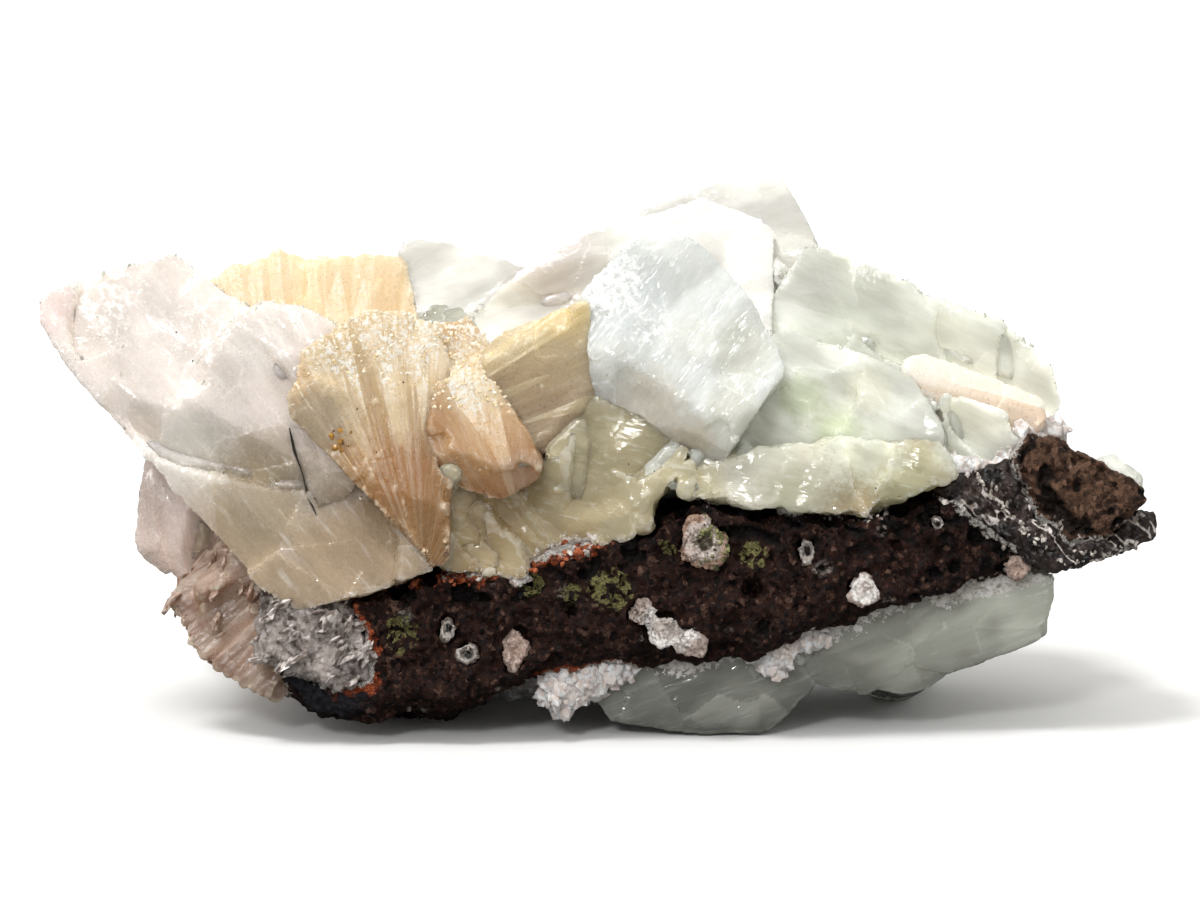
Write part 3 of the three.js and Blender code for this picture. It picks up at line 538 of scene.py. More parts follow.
def squared(piece, source):
    """Carries the flat front faces of a crystal out to its sides, so that it meets its neighbours edge to
    edge along the broken front, and fills the creases that are left between them."""
    faces = {}
    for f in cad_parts[source].data.polygons:
        tilt = UPRIGHT.transposed() @ f.normal
        middle = UPRIGHT.transposed() @ (f.center - SHIFT) * 1000
        if tilt.y < FRONTAL:
            key = (*(round(c, 2) for c in tilt), round(tilt.dot(middle), 0))
            faces.setdefault(key, [0, tilt, tilt.dot(middle), []])
            faces[key][0] += f.area * 1e6
            faces[key][3].append(middle)
    flats = [f for f in faces.values() if f[0] > LEAST_FLAT]
    at, _ = points(piece)
    seen = at[:, 1] < widest(skyline, 0.5, np.maximum)[cells(at)] + SEEN
    level = np.full(len(at), FAR)
    nearest = np.full(len(at), FAR)
    for area, tilt, offset, middles in flats:
        plane = (offset - tilt.x * at[:, 0] - tilt.z * at[:, 2]) / tilt.y
        for middle in middles:
            off = np.linalg.norm(at - np.array(middle), axis=1) - 0.4 * math.sqrt(area)
            closer = off < nearest
            level[closer] = plane[closer]
            nearest[closer] = off[closer]
    level = np.maximum(level, at[:, 1].min() - 0.5)
    chamfer = seen & (at[:, 1] > level) & (at[:, 1] < level + CHAMFER) & (nearest < CARRIED)
    at[chamfer, 1] = level[chamfer]
    level = filled[cells(at)]
    crease = seen & (skyline[cells(at)] - level > 0.15) & (at[:, 1] > level) & (at[:, 1] < level + CREASE)
    at[crease, 1] = level[crease]
    moved(piece, at)


def facing(piece, cuts):
    """Splits the front of a crystal into facets. Each cut is an edge from one (x, z) to another, in mm. On
    its right hand, seen from the front, the surface falls back at the given angle. Each facet gets its own
    painted shade, a little lighter or darker, standing in for the light that falls on it."""
    own = np.full(len(piece.data.vertices), 0.5)
    for number, (x1, z1, x2, z2, angle) in enumerate(cuts):
        at, out = points(piece)
        length = math.hypot(x2 - x1, z2 - z1)
        dx, dz = (x2 - x1) / length, (z2 - z1) / length
        along = np.clip((at[:, 0] - x1) * dx + (at[:, 2] - z1) * dz, 0, length)
        off = np.hypot(at[:, 0] - x1 - along * dx, at[:, 2] - z1 - along * dz)
        near = (out[:, 1] < -0.3) & (off < 2)
        if not near.any():
            continue
        edge = at[near, 1].min() + 0.25
        side = (at[:, 0] - x1) * dz - (at[:, 2] - z1) * dx
        level = edge + side * math.tan(math.radians(max(angle, min(1.4 * angle, STEEPEST))))
        reach = 0.7 * length + 4
        share = (1 - smooth(off, 0.92 * reach, reach)) * (side > -3)
        push = share * np.clip(level - at[:, 1], 0, FACET_FALL)
        # Painted shade: each facet gets its own tone.
        own[push > 0.1] = 0.15 + 0.7 * (number * FACET_SHADE_SPREAD % 1)
        at[:, 1] += push
        moved(piece, at)
    mark(piece, "facet", own)


def finder(places):
    """A search tree that finds the place nearest to a point."""
    found = KDTree(len(places))
    for i, place in enumerate(places):
        found.insert(place, i)
    found.balance()
    return found


def cleaved(piece, size, lean, seed):
    """Breaks the faces into flat steps about size mm wide, each leaning its own way by about lean and each
    given its own painted shade, a little lighter or darker."""
    at, out = points(piece)
    chance = np.random.default_rng(seed)
    spread = sum(f.area for f in piece.data.polygons) * 1e6
    seeds = at[chance.choice(len(at), max(8, round(spread / size**2)), replace=False)]
    tilt = chance.normal(0, lean, seeds.shape)
    near = finder(seeds)
    own = np.array([near.find(place)[1] for place in at])
    lift = np.clip(((at - seeds[own]) * tilt[own]).sum(1), -0.06 * size, 0.06 * size)
    moved(piece, at + out * lift[:, None])
    # Painted shade: each step gets its own tone.
    mark(piece, "step", chance.random(len(seeds))[own])


def ragged(piece, amount):
    """Lets the outline of a broken crystal wander by about amount mm, while its faces stay flat. Near the
    basalt it is torn more."""
    at, out = points(piece)
    gap = np.array([rock.find_nearest(v.co)[3] * 1000 for v in piece.data.vertices])
    torn = (1.6 * (1 - smooth(gap, 1.5, 5.0)))[:, None]
    chance = np.random.default_rng(len(at))
    for size, push in ((3.5, amount + torn), (1.6, 0.6 * (amount + torn)), (0.7, 0.4 * amount)):
        for _ in range(4):
            way = chance.normal(0, 1 / size, (3, 3))
            at += 0.25 * push * np.sin(at @ way + chance.uniform(0, 6.3, 3)) * (1, 0.15, 1)
    moved(piece, at)
    mark(piece, "gap", gap)


def thinned(piece, most):
    """Merges faces on the flats until at most this many triangles are left."""
    count = sum(len(f.vertices) - 2 for f in piece.data.polygons)
    if count > most:
        merge = piece.modifiers.new("merge", "DECIMATE")
        merge.ratio = most / count
        applied(piece, merge)


def stained(add, tone, place, wander, stains):
    """Lays soft spots of colour over a tone. Each has its x, z and radius in mm, its colour and strength."""
    flat = add("VectorMath MULTIPLY", place, (1, 0, 1))
    for x, z, radius, colour, strength in stains:
        away = add("VectorMath DISTANCE", flat, (x, 0, z))
        edge = add("Math MULTIPLY_ADD", wander, radius, away)
        share = add("MapRange", edge, 0.9 * radius, 1.7 * radius, strength, 0,
                    interpolation_type="SMOOTHSTEP")
        tone = add("Mix RGBA", share, tone, colour)
    return tone


def frosted_at(add, place, grit, spots):
    """Where a crystal is frosted: soft round patches, each with x, z, radius in mm and strength, broken up by
    grit."""
    flat = add("VectorMath MULTIPLY", place, (1, 0, 1))
    total = add("Value")
    total.outputs[0].default_value = 0.0
    for x, z, radius, strength in spots:
        away = add("VectorMath DISTANCE", flat, (x, 0, z))
        share = add("MapRange", away, 0.3 * radius, radius, strength, 0)
        total = add("Math MAXIMUM", total, share)
    rough = add("Math ADD", total, grit)
    return add("MapRange", rough, 0.92, 1.22)


def apophyllite(name, crown, foot, levels, clear, gloss, grain, stripe=0.2, tint="#f4f7ec", depth=5.0,
                frost=(), stains=()):
    """Apophyllite. crown and foot are its milky tones above and below levels (mm up the front); the change
    is partly its own colour and partly painted shade, darker towards the foot. clear is how much light goes
    straight through its cloudy and clear parts, gloss the roughness of its polished and dull parts, grain the
    way its striations run and stripe their strength, and tint and depth the colour that it takes on inside.
    frost and stains are spots."""
    m, add, skin, place = material(name)
    fine = add("TexNoise", place, Scale=0.9, Detail=2.0, Roughness=0.75)
    turn = Vector(grain).to_track_quat("Z", "Y").to_euler()
    lines = add("Mapping", place, None, turn, (1, 1, 9), vector_type="TEXTURE")
    blocks = add("Mapping", place, None, turn, (1, 1, 1.8), vector_type="TEXTURE")
    slivers = add("Mapping", place, None, turn, (1, 1, 4.0), vector_type="TEXTURE")
    streak = add("TexNoise", lines, Scale=0.9, Detail=2.0, Roughness=0.7)
    veils = add("TexNoise", blocks, Scale=0.09, Detail=2.0, Roughness=0.65)
    # The broken face: thin slivers that glint where they face the light.
    bumps, _ = splintered(add, slivers, 0.6, FLAKE_LEAN)
    # Frosted spots, bright white where the surface is rough, and the crust where it sits on the basalt.
    spots = frosted_at(add, place, fine, frost)
    split = add("SeparateXYZ", place)
    gap = add("Attribute", attribute_name="gap")
    crust = add("MapRange", add("Math MULTIPLY_ADD", fine, -7.0, gap), -2.4, -1.7, 0.95, 0)
    crust = add("Math MULTIPLY", crust, add("MapRange", split, -44, -38))
    frosted = add("Math MAXIMUM", spots, crust)
    # Milky veils hang inside clear parts. Where it is clear, painted shade darkens it, for the depth one sees
    # down into.
    veil = add("MapRange", veils, 0.42, 0.6)
    through = add("MapRange", add("Math MAXIMUM", veil, frosted), 0, 1, clear[1], clear[0])
    facet = add("Attribute", attribute_name="facet")
    own = add("Math MULTIPLY_ADD", add("Attribute", attribute_name="step"), 0.6, facet)
    # Partly its own colour and partly painted shade: darker towards the foot, shifted by each facet's painted
    # shade.
    rise = add("Math MULTIPLY_ADD", own, 16.0, split.outputs[2])
    share = add("MapRange", rise, levels[0] + 12, levels[1] + 12)
    tone = add("Mix RGBA", share, foot, crown)
    tone = stained(add, tone, place, fine, stains)
    # Painted shade: each facet and each clear part is darkened by its own amount, and so are the striations.
    painted_shade_and_striations = add("Math MULTIPLY_ADD", add("MapRange", own, 1.2, 0.2), 0.6, add("MapRange", veil, 1, 0, 0, 0.3))
    painted_shade_and_striations = add("Math MULTIPLY_ADD", add("MapRange", streak, 0.52, 0.38), 0.35, painted_shade_and_striations)
    painted_shade_and_striations = add("Math MULTIPLY", painted_shade_and_striations, SHADE_AND_STRIATION)
    tone = add("Mix RGBA", painted_shade_and_striations, tone, "#a9a796", blend_type="MULTIPLY")
    # Painted highlight, partly chipped frost: sharp edges are whitened, as are bright striations and the
    # frosted spots.
    pale = add("MapRange", add("NewGeometry").outputs["Pointiness"], 0.53, 0.6, 0, 0.4)
    pale = add("Math MAXIMUM", pale, add("MapRange", streak, 0.6, 0.7, 0, 0.25))
    pale = add("Math MAXIMUM", pale, spots)
    tone = add("Mix RGBA", pale, tone, "#fffffb")
    crust_tone = add("ValToRGB", fine, stops=((0.38, "#a59c93"), (0.55, "#f3eee9")))
    tone = add("Mix RGBA", crust, tone, crust_tone)
    polish = add("MapRange", fine, 0.4, 0.6, *gloss)
    polish = add("Math MAXIMUM", polish, add("Math MULTIPLY", frosted, 0.4))
    bumps = add("Bump", stripe, 0.0006, None, streak, bumps)
    bumps = add("Bump", add("MapRange", frosted, 0, 1, 0.08, 0.9), 0.0006, None, fine, bumps)
    put(skin, Base_Color=tone, Roughness=polish, Transmission_Weight=through, Normal=bumps, IOR=1.535,
        Subsurface_Weight=1.0, Subsurface_Radius=(GLOW, 0.97 * GLOW, 0.85 * GLOW), Subsurface_Scale=1.0)
    inside = add("VolumeAbsorption", tint, depth)
    tree = m.node_tree
    tree.links.new(inside.outputs[0], tree.nodes["Material Output"].inputs["Volume"])
    return m


front = np.full(depths.shape, FAR)  # how deep the finished crystals lie


def grown(piece):
    """Lets the piece meet its neighbours, keeps it above the floor and notes how deep its front lies."""
    at, out = points(piece)
    at = at + CONTACT * out * (1.7, 0.6, 1.7)
    moved(piece, at)
    np.minimum.at(front, cells(at), at[:, 1])
    above_floor(piece)


def crystal(source, slot, look, cuts=(), cell=CRYSTAL_CELL, rough=0.25, step=9.0, lean=0.03,
            most=CRYSTAL_MOST):
    """One node of apophyllite: it meets its neighbours, is split into facets, cleaved and broken at its
    rim."""
    piece = loose(source + "_grown", source, 0.0006)
    squared(piece, source)
    regrid(piece, cell, sharp=False)
    facing(piece, cuts)
    cleaved(piece, step, lean, len(source))
    ragged(piece, rough)
    grown(piece)
    thinned(piece, most)
    done(piece, look, slot, source, edge=9)


# On the left: the pinkish block with its frosted face, the smaller crystal before it and the broken base.
pink = apophyllite(
    "apophyllite pinkish frosted", "#efe4dd", "#b9a48a", (38, 54), (0.05, 0.2), (0.12, 0.3), (0.64, 0, -0.77),
    frost=((-88, 78, 16, 0.46), (-70, 72, 14, 0.44)),
    stains=((-72, 50, 9, "#d9d5cc", 0.7), (-60, 44, 11, "#b3a48c", 0.7), (-44, 34, 9, "#b49c7e", 0.7),
            (-98, 76, 6, "#f3dcd6", 0.8), (-52, 44, 5, "#a59a8c", 0.6), (-60, 69, 6, "#fdf6f0", 0.8))
)
crystal("apophyllite_left_block", "pink_apophyllite", pink, (
    (-92.7, 65.9, -60.4, 27.0, 50), (-88.7, 61.9, -63.4, 36.6, 16), (-68.5, 77.3, -81.4, 72.8, 14),
    (-55.3, 76.5, -65.4, 74.0, 28), (-49.8, 70.0, -55.3, 76.5, 28), (-70.5, 61.9, -54.3, 57.9, 14),
    (-71.5, 55.3, -60.4, 39.7, 14), (-56.9, 30.6, -72.5, 51.8, 10), (-50.3, 39.2, -33.6, 30.6, 10)
))
rose = apophyllite(
    "apophyllite rose", "#fdeae2", "#ecd3c6", (24, 48), (0.1, 0.3), (0.15, 0.35), (0.2, 0, -1),
    tint="#f6dcd4", depth=8
)
crystal("apophyllite_pink_left", "pink_apophyllite", rose, ((-75.5, 27, -75, 46, 30),))
crystal("apophyllite_back_left", "pink_apophyllite", pink, cell=BACK_CELL, most=BACK_MOST)

# In the middle: the silvery crystal, with bright streaks across its cap and ribbed lower sides.
silver = apophyllite(
    "apophyllite silvery", "#e9ece9", "#d2d0c2", (44, 66), (0.08, 0.3), (0.06, 0.25), (0.62, 0, 0.78),
    stripe=0.5,
    # The frost on its cap is painted bright white: partly frosting, partly a painted highlight.
    frost=((2, 80, 13, 0.6), (8, 73, 9, 0.5)),
    stains=((8, 58, 8, "#e0d6c4", 0.7), (16, 52, 5, "#ddd1bb", 0.7), (3, 78, 10, "#e2e8ea", 0.7),
            (25, 68, 7, "#d5d6ca", 0.8), (24, 58, 5, "#d9dacf", 0.8), (16, 70, 5, "#e6e7df", 0.6))
)
crystal("apophyllite_front_crystal", "clear_apophyllite", silver, (
    (21.0, 80.1, 6.4, 68.4, 16), (6.4, 68.4, 21.9, 52.2, 30), (-1.4, 63.8, 21.9, 52.7, 58),
    (30.6, 67.1, 21.0, 80.1, 35), (22.6, 52.7, 31.1, 66.2, 26), (14.1, 88.4, -1.6, 78.8, 35)
))
cream = apophyllite(
    "apophyllite cream broken", "#c2b898", "#c2aa80", (26, 46), (0.1, 0.3), (0.06, 0.25), (1, 0, -0.25),
    tint="#efead0", depth=5,
    stains=((-19, 39, 8, "#b3986c", 0.6), (3, 47, 9, "#b9ae8c", 0.7), (30, 46, 14, "#eceadb", 0.8),
            (54, 45, 7, "#b4b08c", 0.9), (34, 43, 6, "#cdcbae", 0.8), (46, 52, 9, "#e9ebda", 0.9),
            (64, 51, 6, "#e9ebda", 0.9), (30, 52, 6, "#e6e6d4", 0.9), (17, 44, 6, "#c6bd9a", 0.7))
)
crystal("apophyllite_centre_base", "cream_apophyllite", cream, (
    (-6.4, 54.4, -6.4, 48.3, 30), (-0.8, 60.1, -6.0, 55.3, 25), (-6.4, 48.3, 1.0, 41.3, 25),
    (1.0, 41.3, 2.7, 40.5, 30), (-7.3, 45.2, -0.8, 40.0, 20), (6.2, 52.7, 5.3, 41.8, 18),
    (6.2, 52.7, 9.7, 56.6, 14), (-22.6, 43.0, -18.9, 37.5, 16), (-18.9, 37.5, -13.4, 35.6, 16),
    (-11.1, 42.1, -6.5, 37.5, 16), (-28.1, 33.8, -27.6, 40.2, 20), (30.0, 52.5, 27.0, 41.5, 10),
    (38.0, 42.0, 41.0, 52.0, 10), (52.0, 51.5, 54.0, 44.0, 12), (60.0, 44.0, 58.0, 51.0, 12)
), rough=0.8)

# On the right: green-tinged crystals, the clearest of the cluster.
green = apophyllite(
    "apophyllite pale green", "#f5f7ec", "#e9ecda", (36, 52), (0.12, 0.35), (0.05, 0.2), (0.9, 0, -0.42),
    tint="#eef4e4", depth=5,
    frost=((48, 84, 8, 0.5), (64, 78, 8, 0.5), (78, 68, 7, 0.5)),
    stains=((36, 60, 5, "#dfe8c8", 0.8), (42, 54, 5, "#dfe8c8", 0.8), (35, 80, 7, "#fdfdf8", 0.9),
            (48, 61, 5, "#dcdac4", 0.6))
)
crystal("apophyllite_green_pair", "clear_apophyllite", green, (
    (30.6, 67.0, 44.9, 50.2, 6), (36.6, 61.1, 44.0, 51.2, 9), (44.5, 65.5, 60.7, 53.7, 8),
    (48.9, 56.6, 51.9, 53.2, 10), (32.4, 63.6, 42.0, 53.1, 9), (22.8, 52.7, 32.8, 63.6, 9)
))
crystal("apophyllite_right_points", "clear_apophyllite", green, (
    (59.8, 60.6, 69.6, 57.6, 15), (69.6, 57.6, 74.1, 53.7, 20), (57.3, 60.6, 61.7, 53.7, 20)
))
crystal("apophyllite_right_block", "clear_apophyllite", green, (
    (41.0, 85.2, 56.8, 79.8, 12), (56.8, 79.8, 71.1, 73.1, 12), (71.1, 73.1, 80.0, 66.5, 14),
    (80.0, 66.5, 82.2, 58.6, 20), (35.8, 73.4, 36.3, 82.3, 8), (56.8, 77.3, 61.7, 64.5, 4),
    (41.5, 71.9, 54.8, 69.4, 5)
), rough=0.5, step=12, lean=0.015)
crystal("apophyllite_tip_crystal", "clear_apophyllite", green, cell=0.0003, step=4)
crystal("apophyllite_back_right", "clear_apophyllite", green, cell=BACK_CELL, most=BACK_MOST)

# Along the top: the ridge and the peak, nearly white.
white = apophyllite(
    "apophyllite white", "#faf8f2", "#f1efe4", (50, 75), (0.1, 0.35), (0.08, 0.25), (0.95, 0, 0.31),
    frost=((20, 96, 10, 0.45), (-10, 86, 8, 0.45)),
    stains=((-8, 84, 9, "#f5e8e4", 0.6),)
)
crystal("apophyllite_ridge_crystal", "clear_apophyllite", white, (
    (31.1, 90.2, 18.4, 95.3, 25), (18.4, 95.3, -1.6, 87.1, 25), (30.4, 67.1, 31.1, 90.2, 40),
    (18.9, 84.5, 26.3, 65.3, 14), (22.8, 85.4, 18.9, 84.5, 14), (-16.5, 81.9, -0.8, 87.6, 16)
))
crystal("apophyllite_peak_crystal", "clear_apophyllite", white, (
    (35.9, 93.7, 31.1, 101.1, 30), (31.1, 101.1, 11.0, 95.0, 20), (40.2, 85.8, 35.9, 93.7, 45),
    (30.4, 70.7, 31.1, 90.2, 22), (31.1, 90.2, 40.0, 85.7, 20)
))
crystal("apophyllite_white_crystal", "clear_apophyllite", white, ((-35.6, 87.7, -22.0, 84.6, -30),))
crystal("apophyllite_back_centre", "clear_apophyllite", white, cell=BACK_CELL, most=BACK_MOST)
crystal("apophyllite_back_ridge", "clear_apophyllite", white, cell=BACK_CELL, most=BACK_MOST)

# Underneath and in the nook at the top: grey, glassy and clear, and darker low down, partly as painted shade.
grey = apophyllite(
    "apophyllite grey glassy", "#d8dacd", "#94958d", (2, 22), (0.3, 0.6), (0.04, 0.15), (1, 0, 0.35),
    tint="#d5d8d2", depth=10
)
crystal("apophyllite_grey_points", "grey_apophyllite", grey, cell=0.0002, rough=0.1, step=4)
crystal("apophyllite_foot_crystal", "grey_apophyllite", grey)
crystal("apophyllite_under_crystals", "grey_apophyllite", grey)


# ---------------------------------------------------------------------------------------------------------
# The stilbite: the wheat sheaf, the blades beside it, the ledge at the back and the lower left bundle.
# Thin blades grown side by side from one point, so a sheaf fans out: pearly, cream to peach, with fine ribs.
BLADE_MOST = 56000  # triangles


def stilbite(name, pale, deep, levels, centre, ribs=60.0, frost=(200, 220), stains=(), contrast=0.2):
    """Stilbite. Its ribs spread from centre, given as x and z in mm. levels are the heights in mm between
    which deep gives way to pale, partly its own colour and partly painted shade lower down, frost those
    between which white frost sets in, and contrast how much the ribs stand out."""
    m, add, skin, place = material(name)
    split = add("SeparateXYZ", place)
    dx = add("Math SUBTRACT", split.outputs[0], centre[0])
    dz = add("Math SUBTRACT", split.outputs[2], centre[1])
    angle = add("Math MULTIPLY", add("Math ARCTAN2", dx, dz), ribs)
    ray = add("VectorMath LENGTH", add("CombineXYZ", dx, 0.0, dz))
    fan = add("CombineXYZ", angle, add("Math MULTIPLY", ray, 0.12),
              add("Math MULTIPLY", split.outputs[1], 0.3))
    rib = add("TexNoise", fan, Scale=0.4, Detail=3.0, Roughness=0.55)
    thin = add("TexNoise", fan, Scale=1.6, Detail=2.0, Roughness=0.6)
    speckle = add("TexNoise", place, Scale=1.1, Detail=3.0, Roughness=0.7)
    blades, blade = splintered(add, fan, 0.3, 0.15)
    # Partly its own colour and partly painted shade: deep lower down, pale higher up.
    rise = add("Math MULTIPLY_ADD", add("SeparateColor", blade), 20.0, split.outputs[2])
    share = add("MapRange", rise, levels[0] + 10, levels[1] + 10, interpolation_type="SMOOTHSTEP")
    tone = add("Mix RGBA", share, deep, pale)
    tone = stained(add, tone, place, speckle, stains)
    tone = add("Mix RGBA", add("MapRange", rib, 0.48, 0.7, 0, contrast), tone, "#fbf1dd")
    tone = add("Mix RGBA", add("MapRange", thin, 0.3, 0.5, 0.4 * contrast, 0), tone, deep)
    icy = add("MapRange", rise, frost[0] + 10, frost[1] + 10)
    frosted = add("Math MULTIPLY", icy, add("MapRange", speckle, 0.48, 0.56))
    tone = add("Mix RGBA", frosted, tone, "#fffcf4")
    # Paler on sharp edges.
    paler_on_sharp_edges = add("MapRange", add("NewGeometry").outputs["Pointiness"], 0.53, 0.62, 0, 0.6)
    tone = add("Mix RGBA", paler_on_sharp_edges, tone, "#fff3da")
    bumps = add("Bump", 0.3, 0.0006, None, rib, blades)
    bumps = add("Bump", 0.3, 0.0002, None, thin, bumps)
    bumps = add("Bump", add("MapRange", frosted, 0, 1, 0.1, 0.9), 0.0006, None, speckle, bumps)
    put(skin, Base_Color=tone, Roughness=add("MapRange", speckle, 0.35, 0.65, 0.22, 0.42), IOR=1.5,
        Transmission_Weight=0.2, Subsurface_Weight=1.0, Subsurface_Radius=(0.005, 0.0042, 0.003),
        Subsurface_Scale=1.0, Normal=bumps)
    return m


def fanned(piece, centre, ribs, height, seed):
    """Raises ribs that spread from centre on the piece's front and end."""
    at, out = points(piece)
    heights = np.random.default_rng(seed).random(512)
    angle = np.arctan2(at[:, 0] - centre[0], at[:, 2] - centre[1])
    rib = np.interp(angle * ribs % 512, np.arange(512), heights) - 0.5
    coarse = np.interp(angle * ribs * 0.3 % 512, np.arange(512), heights) - 0.5
    ray = at - np.array([centre[0], 0, centre[1]])
    ray[:, 1] = 0
    far = np.linalg.norm(ray, axis=1, keepdims=True)
    ending = np.clip((out * ray / np.maximum(far, 1)).sum(1), 0, 1)
    push = height * (rib + coarse)[:, None] * smooth(far, 3, 12)
    moved(piece, at + push * (out + 2.5 * ending[:, None] * ray / np.maximum(far, 1)))


sheaf_look = stilbite(
    "stilbite sheaf", "#dcc49c", "#a37c52", (38, 70), (-31, 28), frost=(66, 73),
    stains=((-50, 56, 7, "#a5967f", 0.8), (-35, 46, 8, "#a07248", 0.9), (-29, 68, 5, "#f1dfc0", 0.8))
)
peach_look = stilbite(
    "stilbite peach blade", "#d8b588", "#a5774e", (40, 66), (-12, 30), ribs=30, frost=(60, 68),
    stains=((-14, 47, 4, "#b4957c", 0.7), (-24, 50, 6, "#c49c70", 0.6), (-21, 64, 8, "#f0dcb6", 0.8))
)
tan_look = stilbite(
    "stilbite tan blade", "#e0cda2", "#b9a284", (52, 78), (-60, 40), ribs=90,
    stains=((-6, 75, 6, "#dcc48c", 0.8),)
)
ledge_look = stilbite(
    "stilbite orange cream", "#f6dfb8", "#e6c595", (60, 84), (-50, -20), ribs=90, frost=(76, 100)
)
brown_look = stilbite("stilbite brown peach", "#b89a88", "#8a6c5c", (8, 30), (-30, 50), ribs=50)
peach_right = stilbite(
    "stilbite cream and peach", "#fffaec", "#fbe3cb", (57, 64), (100, 48), ribs=50, contrast=0.3
)

for source, cell, look, centre, ribs, height, cuts in (
    ("stilbite_sheaf", 0.0004, sheaf_look, (-31, 28), 70, 0.22, ((-54.3, 57.2, -37.3, 43.9, 14),)),
    ("stilbite_peach_blade", 0.0004, peach_look, (-12, 30), 40, 0.15,
     ((-29.7, 53.8, -17.5, 46.9, 26), (-17.5, 46.9, -11.1, 48.0, 20), (-29.7, 47.1, -13.4, 42.1, 40))),
    ("stilbite_tan_blade", 0.0004, tan_look, (-60, 40), 120, 0.1,
     ((-20.8, 67.1, -13.0, 51.8, 30), (-13.0, 51.8, -1.2, 62.7, 25), (-2.5, 76.7, -17.8, 68.8, 20))),
    ("stilbite_right_blade", 0.0004, peach_right, (100, 48), 50, 0.15,
     ((55.3, 64.5, 78.5, 58.6, 8), (56.8, 61.1, 72.6, 56.6, 12))),
    ("stilbite_back_ledge", 0.0005, ledge_look, (-50, -20), 140, 0.25, ()),
    ("stilbite_back_sheaf", 0.0006, ledge_look, (-46, 10), 90, 0.4, ()),
    ("stilbite_lower_left", 0.0004, brown_look, (-30, 50), 90, 0.35, ()),
):
    piece = loose(source + "_bladed", source, cell)
    squared(piece, source)
    regrid(piece, 0.75 * cell, sharp=False)
    facing(piece, cuts)
    cleaved(piece, 6, 0.02, len(source))
    fanned(piece, centre, ribs, height, len(source))
    ragged(piece, 0.35)
    grown(piece)
    thinned(piece, BLADE_MOST)
    done(piece, look, "stilbite", source, edge=20)


# ---------------------------------------------------------------------------------------------------------
# In the deepest creases of the front: small pale crystals, grown between the large ones.
# They end where one crystal stands well before the next, and the smallest scraps are left out.
LEAST_CREASE = 1.0  # mm, the depth of the shallowest crease that they fill
LEDGE = 2.2  # mm, where the front falls by more than this they end
THICK = 0.003  # the filling
CLEAR_OF_ROCK = 9.0  # mm, a distance from the rock at which no crust shows

front = widest(widest(front, 0.5, np.minimum), 0.5, np.maximum)
bridged = widest(widest(front, 2.4, np.minimum), 2.4, np.maximum)
fall = widest(bridged, 0.9, np.maximum) - widest(bridged, 0.9, np.minimum)
room = (fall < LEDGE) & (bridged < FAR / 2) & (skyline < FAR / 2)
deep = widest(((front - bridged > LEAST_CREASE) & room).astype(float), 0.8, np.maximum) * room
deep = widest(widest(deep, 0.9, np.minimum), 0.9, np.maximum) * room
core = sum(np.roll(deep, (i, j), (0, 1)) for i in range(-3, 4) for j in range(-3, 4)) / 49
bpy.ops.object.select_all(action="DESELECT")
bpy.ops.mesh.primitive_grid_add(x_subdivisions=len(across) - 1, y_subdivisions=len(upward) - 1, size=1)
nook = bpy.context.object
nook.name = "apophyllite_nook_filling"
at = np.empty((len(upward), len(across), 3))
at[:, :, 0] = across
at[:, :, 2] = upward[:, None]
at[:, :, 1] = np.where(deep > 0.5, bridged + 0.3 + 2.5 * np.clip(0.9 - core, 0, 1), 0)
moved(nook, at.reshape(-1, 3))
bpy.ops.object.mode_set(mode="EDIT")
bpy.ops.mesh.select_mode(type="VERT")
bpy.ops.mesh.select_all(action="DESELECT")
bpy.ops.object.mode_set(mode="OBJECT")
for v, keep in zip(nook.data.vertices, deep.ravel() > 0.5):
    v.select = not keep
bpy.ops.object.mode_set(mode="EDIT")
bpy.ops.mesh.delete(type="VERT")
bpy.ops.object.mode_set(mode="OBJECT")
wall = nook.modifiers.new("depth", "SOLIDIFY")
wall.thickness = THICK
wall.offset = -1
applied(nook, wall)
plainly_marked(nook, gap=CLEAR_OF_ROCK, facet=0.6, step=0.5)
for look in (pink, cream, green, white):
    nook.data.materials.append(look)
for f in nook.data.polygons:
    x, z = f.center.x * 1000, f.center.z * 1000
    f.material_index = 0 if x < -50 else 3 if z > 60 and x < 36 else 1 if x < 8 else 2
bpy.ops.object.shade_smooth_by_angle(angle=math.radians(30))
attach(nook, "root")


# ---------------------------------------------------------------------------------------------------------
# The heulandite: white crusts of small crystals on and under the slab, in the vein and at the lower left.
# Its crystals stand close together at all angles, so a crust is rough and glints here and there.
DRUSE_CELL = 0.0004
DRUSE_MOST = 45000  # triangles


